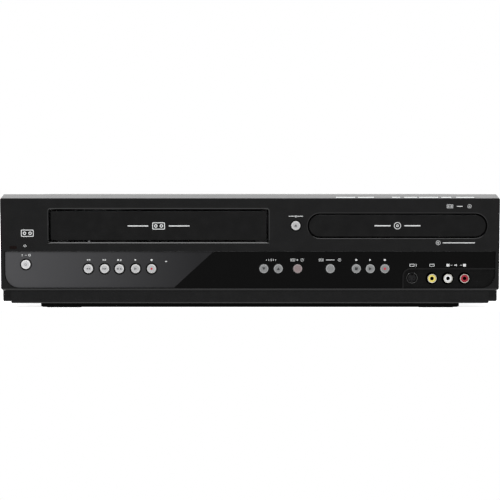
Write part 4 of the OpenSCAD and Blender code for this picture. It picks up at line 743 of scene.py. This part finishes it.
STRIP_FACE = 1.0                                 # depths behind the main face
PANEL_FACE = 0.0
LABEL_Z, LABEL_S = 42.2, 0.95
STANDBY_LABEL_Z = 46.4
JACK_LABEL_Z = 37.6
SMALL_TAPE, SMALL_DISC = 4.0, 1.35               # width and radius of the small symbols
HOLE_SHADE = (5.2, 4.82)                          # painted shade round the hole of each key


def key_labels(keys):
    return [outline for key in keys for outline in symbol(key, KEYS[key].x, LABEL_Z, LABEL_S)]


def tape_and_disc(key, reach, disc_reach, middle):
    """A cassette to the left of a key's middle, a disc to the right and a mark between them."""
    x = KEYS[key].x
    return [*tape_symbol(x - reach, LABEL_Z, SMALL_TAPE), middle,
            *disc_symbol(x + disc_reach, LABEL_Z, SMALL_DISC)]


# Rings of painted shade round the keys' holes
hole_shades = {key: round_band(middle.x, middle.z, *HOLE_SHADE) for key, middle in KEYS.items()}
open_shade = hole_shades.pop("open_close")
marks("key_gap_shade", list(hole_shades.values()), STRIP_FACE, SHADOW, proud=SUNK)
marks("open_gap_shade", [open_shade], PANEL_FACE, SHADOW, proud=SUNK)

standby_x, dubbing_x, source_x = [KEYS[key].x for key in ("standby", "dubbing", "source")]
tape_labels = key_labels(TAPE_KEYS)
tape_labels += [bar(standby_x - 3.2, STANDBY_LABEL_Z, 0.45, 2.0, 0.1),
                round_band(standby_x + 3.2, STANDBY_LABEL_Z, 1.05, 0.68),
                bar(standby_x, STANDBY_LABEL_Z, 1.8, 0.35, 0.1)]
marks("tape_key_labels", tape_labels, STRIP_FACE, WHITE_INK)

tracking_x = (KEYS["tracking_down"].x + KEYS["tracking_up"].x) / 2
disc_labels = key_labels(("disc_stop", "disc_play", "disc_record"))
disc_labels += [bar(tracking_x + dx, LABEL_Z, 0.5, h, 0.1)
                for dx, h in ((-4, 0.9), (-2, 1.5), (0, 2.1), (2, 1.5), (4, 0.9))]
disc_labels += tape_and_disc("dubbing", 4.2, 4.0, wedge(dubbing_x, LABEL_Z, 1.5, 1.6, 0))
disc_labels += tape_and_disc("source", 8.0, 8.0, bar(source_x, LABEL_Z, 7.5, 0.5, 0.1))
marks("disc_key_labels", disc_labels, STRIP_FACE, WHITE_INK)

video_x, left_x, right_x = [middle.x for middle in PHONO_SOCKETS.values()]
svideo = centre_of("s_video_jack")
audio_x = (left_x + right_x) / 2
jack_labels = [screen_symbol(svideo.x, JACK_LABEL_Z),
               bar(svideo.x + 3.6, JACK_LABEL_Z, 0.5, 2.0, 0.1),
               screen_symbol(video_x, JACK_LABEL_Z),
               bar(left_x, JACK_LABEL_Z, 2.6, 2.3, 0.3), bar(right_x, JACK_LABEL_Z, 2.6, 2.3, 0.3),
               bar(audio_x - 1.2, JACK_LABEL_Z, 0.8, 1.0, 0.1),
               wedge(audio_x - 0.3, JACK_LABEL_Z, 1.6, 2.0, 180),
               *side_bars(audio_x, JACK_LABEL_Z, 4.2, 1.6, 0.35, 0.1)]
marks("jack_labels", jack_labels, STRIP_FACE, WHITE_INK)

# ------------------------------------------------------------------ prints on the panel and doors

OPEN_LABEL_Z = 80.4
open_x = KEYS["open_close"].x
panel_labels = [*side_bars(open_x, OPEN_LABEL_Z, 3.6, 5.2, 0.5, 0.1),
                *eject(open_x, OPEN_LABEL_Z, LABEL_S),
                # left end
                *tape_symbol(-194.0, 65.6, 11.0), *power_symbol(-196.2, 54.6, 1.15),
                # right end, below and above
                *disc_symbol(164.0, 57.2, 2.0), bar(182.0, 57.2, 28.0, 0.7, 0.2),
                *tape_symbol(174.0, 89.0, 5.4), bar(182.5, 89.0, 5.0, 0.6, 0.2),
                *disc_symbol(191.0, 89.0, 1.7)]
marks("panel_labels", panel_labels, PANEL_FACE, WHITE_INK)

DOOR_FACE, DOOR_LABEL_Z = 1.0, 71.9
door_x = centre_of("cassette_door").x
door_labels = [*tape_symbol(door_x, DOOR_LABEL_Z, 11.0),
               *side_bars(door_x, DOOR_LABEL_Z, 18, 18, 0.9, 0.2)]
marks("door_labels", door_labels, DOOR_FACE, WHITE_INK, "door")

TRAY_FACE = 0.2
tray = centre_of("tray_front")
tray_labels = [*disc_symbol(tray.x, tray.z, 3.1), *side_bars(tray.x, tray.z, 13, 14, 0.9, 0.2)]
marks("tray_labels", tray_labels, TRAY_FACE, WHITE_INK, "drawer")

# A small stop on the sill, in the gap under the door
STOP_X, STOP_W, STOP_H = -140.4, 1.6, 1.35
door_stop = bar(STOP_X, SILL_TOP + STOP_H / 2, STOP_W, STOP_H)
add_piece("door_stop", plates([door_stop], FRONT + 1.0, FRONT + 1.8),
          ("print_grey", "mech_plastic"))

# ------------------------------------------------------------------ prints on the sloping top strip

SLOPE_RUN, SLOPE_RISE = 12.6, 3.5
SLOPE_PROUD = 0.04
SLOPE_BAND = (0.12, 0.32)                        # shares of the slope's run from its front edge
SLOPE_BARS = ((75.0, 91.6), (94.2, 108.2), (123.9, 130.9), (134.4, 145.7), (147.5, 164.1),
              (166.7, 175.4), (179.8, 195.5))


def slope_bar(mesh, x0, x1):
    """A thin plate on the sloping strip."""
    length = math.hypot(SLOPE_RUN, SLOPE_RISE)
    out = Vector((0, -SLOPE_RISE / length, SLOPE_RUN / length))
    corners = []
    for share in SLOPE_BAND:
        foot = Vector((0, FRONT + SLOPE_RUN * share, TOP - SLOPE_RISE * (1 - share)))
        for lift in (-SUNK, SLOPE_PROUD):
            corners.append(foot + out * lift)
    low_in, low_out, high_in, high_out = corners
    section = [low_in, low_out, high_out, high_in]
    ends = [[mesh.verts.new((Vector((x, 0, 0)) + point) * MM) for point in section]
            for x in (x0, x1)]
    for i in range(4):
        j = (i + 1) % 4
        mesh.faces.new([ends[0][i], ends[0][j], ends[1][j], ends[1][i]])
    mesh.faces.new(ends[0][::-1])
    mesh.faces.new(ends[1])


slope_mesh = bmesh.new()
for bar_start, bar_end in SLOPE_BARS:
    slope_bar(slope_mesh, bar_start, bar_end)
add_piece("slope_bars", slope_mesh, WHITE_INK)

# ------------------------------------------------------------------ small parts on the front

SLEEVE_DARK_REFLECTION = (4.14, 3.86)                       # a painted dark reflection on the turned-over edge of a phono sleeve
sleeve_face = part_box("phono_sleeves")[0].y / MM - FRONT
sleeve_rings = [round_band(middle.x, middle.z, *SLEEVE_DARK_REFLECTION) for middle in PHONO_SOCKETS.values()]
marks("sleeve_dark_reflections", sleeve_rings, sleeve_face, SHADOW, proud=SUNK)


def round_ring(cx, cz, y, r_in, r_out, rise, gap, segments=64, steps=8):
    """A ring with a rounded front edge, facing the front, open at the top over a gap in degrees."""
    mesh = bmesh.new()
    half = (r_out - r_in) / 2
    back = y + 0.5
    turns = [math.pi * i / steps for i in range(steps + 1)]
    profile = [(r_in, back)]
    profile += [(r_in + half - half * math.cos(t), y - rise * math.sin(t)) for t in turns]
    profile += [(r_out, back)]
    rings = []
    for i in range(segments + 1):
        a = math.radians(90 + gap / 2 + (360 - gap) * i / segments)
        rings.append([mesh.verts.new(((cx + r * math.cos(a)) * MM, (FRONT + d) * MM,
                                      (cz + r * math.sin(a)) * MM)) for r, d in profile])
    mesh.faces.new(rings[0])
    mesh.faces.new(rings[-1][::-1])
    for one, two in zip(rings, rings[1:]):
        for k in range(len(profile)):
            m = (k + 1) % len(profile)
            mesh.faces.new([one[k], one[m], two[m], two[k]])
    return mesh


SVIDEO_RING_Y = 0.6
svideo_ring = add_piece("s_video_ring",
                        round_ring(svideo.x, svideo.z, SVIDEO_RING_Y, 4.3, 4.88, 0.25, gap=44),
                        ("nickel_dark", "nickel"))
for polygon in svideo_ring.data.polygons:
    polygon.use_smooth = True

# A dark frame behind the drawer's front, with an opening that the tray passes through: painted
# shade that keeps the gap round the tray dark, as a light seal does
BAFFLE_W, BAFFLE_H, BAFFLE_R = 163, 26.6, 13.2
TRAY_ROOM, TRAY_LIFT = 1.6, 0.8                  # room beside the tray, and more of it above
tray_low, tray_high = box_of("disc_tray")
front_low, front_high = box_of("tray_front")
baffle_x = (front_low.x + front_high.x) / 2
baffle_z = (front_low.z + front_high.z) / 2
baffle_hole = bar(baffle_x, (tray_low.z + tray_high.z) / 2 + TRAY_LIFT,
                  tray_high.x - tray_low.x + TRAY_ROOM, tray_high.z - tray_low.z + 2 * TRAY_ROOM,
                  1.0, 8)
baffle = inset_ring(bar(baffle_x, baffle_z, BAFFLE_W, BAFFLE_H, BAFFLE_R, 8), baffle_hole)
add_piece("drawer_shade_baffle", plates([baffle], FRONT + 3.8, FRONT + 4.6), SHADOW)

TIMER_W, TIMER_H = 2.7, 1.4                      # the timer lamp's lens, lower right of the two
LIT_W, LIT_H = 0.74, 0.7                         # the share of the lens that is lit
LAMP_RISE = 0.2
lens_low, lens_high = box_of("indicator_lenses")
timer_x, timer_z = lens_high.x - TIMER_W / 2, lens_low.z + TIMER_H / 2
marks("timer_lamp", [bar(timer_x, timer_z, TIMER_W * LIT_W, TIMER_H * LIT_H)], STRIP_FACE,
      ("lamp_grey", "insulator_white"), proud=LAMP_RISE)

# ------------------------------------------------------------------ rear socket rings

JACK_PITCH = 14                                  # of the rear phono sockets
JACK_ROWS = (9, 23)                              # above the foot of their block
jack_low, jack_high = box_of("rear_av_jacks")
columns = [jack_low.x + JACK_PITCH + JACK_PITCH * i for i in range(5)]
lower_z, upper_z = [jack_low.z + rise for rise in JACK_ROWS]


def rear_ring(name, centres, look):
    """Coloured insulator faces of the rear phono sockets."""
    rings = [round_band(cx, cz, 3.3, 1.75) for cx, cz in centres]
    add_piece(name, plates(rings, jack_high.y - 0.02, jack_high.y + 0.08), look)


rear_ring("rear_yellow_rings", [(columns[0], lower_z), (columns[0], upper_z)],
          ("yellow", "insulator_yellow"))
rear_ring("rear_white_rings", [(columns[1], lower_z), (columns[1], upper_z)],
          ("white", "insulator_white"))
rear_ring("rear_red_rings", [(columns[2], lower_z), (columns[2], upper_z), (columns[4], lower_z)],
          ("red", "insulator_red"))

# ------------------------------------------------------------------ rear prints, all plain shapes

REAR_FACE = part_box("rear_panel")[1].y / MM - FRONT
GROUP_LABEL_Z = 59.5                             # the arrows over the two groups of sockets
ANTENNA_Z, ANTENNA_LABEL_Z = 37.0, 52.5
PLATE_X, PLATE_Z = 125.0, 56.0


def rear_marks(name, outlines, look, proud=PROUD):
    """A print on the outer face of the rear panel."""
    marks(name, outlines, REAR_FACE + proud, look, proud=proud + SUNK)


group_z = (lower_z + upper_z) / 2
input_x = (columns[0] + columns[2]) / 2
output_x = (columns[3] + columns[4]) / 2
antenna_low, antenna_high = box_of("antenna_jacks")
antenna_x = (antenna_low.x + antenna_high.x) / 2
digital_low, digital_high = box_of("digital_socket")
digital_x = (digital_low.x + digital_high.x) / 2
digital_z = (digital_low.z + digital_high.z) / 2
rear_lines = [
    frame_line(input_x, group_z, 40.5, 28.5), frame_line(output_x, group_z, 26.5, 28.5),
    wedge(input_x, GROUP_LABEL_Z, 3.2, 4.0, -90), wedge(output_x, GROUP_LABEL_Z, 3.2, 4.0, 90),
    *side_bars(input_x, GROUP_LABEL_Z, 12, 14, 0.5, 0.1),
    *side_bars(output_x, GROUP_LABEL_Z, 8, 8, 0.5, 0.1),
    frame_line(digital_x, digital_z, 22, 12), bar(digital_x, digital_z + 9.5, 10, 0.6, 0.1),
    wedge(digital_x + 8, digital_z + 9.5, 2.4, 3.0, 0),
    frame_line(antenna_x, ANTENNA_Z, 43, 22),
    wedge(antenna_x - 11, ANTENNA_LABEL_Z, 3.0, 3.8, -90),
    wedge(antenna_x + 11, ANTENNA_LABEL_Z, 3.0, 3.8, 90),
]
rear_marks("rear_lines", rear_lines, DARK_INK)
rear_marks("rear_plate", [bar(PLATE_X, PLATE_Z, 66, 36, 2)], WHITE_INK, 0.12)
rear_marks("rear_plate_line", [frame_line(PLATE_X, PLATE_Z, 62, 32, 0.5, 1.4)], DARK_INK, 0.16)

# ------------------------------------------------------------------ floor, lights, camera

FLOOR_GLOW = 0.5
FLOOR_LIFT = 0.3                                 # extra where the camera sees it: paler shadows


def floor_material():
    """Pale studio floor with slight mottling and some light of its own, as a lit sweep has."""
    material, tree, shader = new_material("floor_pale")
    mottle = remap(tree, noise(tree, object_coords(tree), 200), 0, 1)
    feed(tree, mix_colors(tree, mottle, grey(0.79), grey(0.82)), shader.inputs["Base Color"])
    shader.inputs["Roughness"].default_value = 0.7
    shader.inputs["Specular IOR Level"].default_value = 0.2
    feed(tree, grey(1), shader.inputs["Emission Color"])
    path = tree.nodes.new("ShaderNodeLightPath")
    glow = remap(tree, path.outputs["Is Camera Ray"], FLOOR_GLOW, FLOOR_GLOW + FLOOR_LIFT, 0, 1)
    feed(tree, glow, shader.inputs["Emission Strength"])
    return material


def make_floor():
    """A floor that starts under the front, so that it throws no light up at the face."""
    near, far, side = -0.15, 4.0, 4.0
    corners = [(-side, near, 0), (side, near, 0), (side, far, 0), (-side, far, 0)]
    data = bpy.data.meshes.new("floor")
    data.from_pydata(corners, [], [(0, 1, 2, 3)])
    floor = bpy.data.objects.new("floor", data)
    bpy.context.scene.collection.objects.link(floor)
    data.materials.append(floor_material())


def area_light(name, place, target, width, height, power):
    light = bpy.data.lights.new(name, "AREA")
    light.shape = "RECTANGLE"
    light.size, light.size_y = width, height
    light.energy = power
    obj = bpy.data.objects.new(name, light)
    obj.location = place
    obj.rotation_euler = (Vector(target) - Vector(place)).to_track_quat("-Z", "Y").to_euler()
    bpy.context.scene.collection.objects.link(obj)


def make_world():
    """White behind and above, dim in front, and plain white to the camera itself."""
    world = bpy.data.worlds.new("studio")
    bpy.context.scene.world = world
    world.use_nodes = True
    tree = world.node_tree
    tree.nodes.clear()
    coords = tree.nodes.new("ShaderNodeTexCoord")
    x, y, z = separate(tree, coords.outputs["Generated"])
    depth = remap(tree, y, 0, 1, -0.25, 0.55)
    rise = remap(tree, z, 0, 1, 0.0, 0.9)
    side = remap(tree, calculate(tree, "ABSOLUTE", x), 0, 1, 0.45, 0.8)
    below = remap(tree, z, 1, 0, -0.55, -0.2)
    front = mix_colors(tree, side, grey(0.27), grey(1.2))
    low = mix_colors(tree, depth, front, grey(2.5))
    high = mix_colors(tree, depth, grey(0.5), grey(1.15))
    sky = mix_colors(tree, below, mix_colors(tree, rise, low, high), grey(1.5))
    lit = tree.nodes.new("ShaderNodeBackground")
    feed(tree, sky, lit.inputs["Color"])
    seen = tree.nodes.new("ShaderNodeBackground")
    feed(tree, grey(1), seen.inputs["Color"])
    path = tree.nodes.new("ShaderNodeLightPath")
    either = tree.nodes.new("ShaderNodeMixShader")
    tree.links.new(path.outputs["Is Camera Ray"], either.inputs["Fac"])
    tree.links.new(lit.outputs["Background"], either.inputs[1])
    tree.links.new(seen.outputs["Background"], either.inputs[2])
    out = tree.nodes.new("ShaderNodeOutputWorld")
    tree.links.new(either.outputs["Shader"], out.inputs["Surface"])


def make_camera():
    """A camera in front of the machine and a little above it, in metres."""
    distance = 0.970
    eye_height, aim_height = 0.103, 0.05096
    data = bpy.data.cameras.new("camera")
    data.lens = 80.22
    camera = bpy.data.objects.new("camera", data)
    camera.location = (0, FRONT * MM - distance, eye_height)
    aim = Vector((0, FRONT * MM, aim_height))
    camera.rotation_euler = (aim - camera.location).to_track_quat("-Z", "Y").to_euler()
    bpy.context.scene.collection.objects.link(camera)
    bpy.context.scene.camera = camera


make_floor()
make_world()
area_light("key", place=(0.1, -0.95, 1.15), target=(0, -0.1, 0.05),
           width=1.3, height=0.36, power=16)
make_camera()
bpy.context.scene.view_settings.view_transform = "Standard"
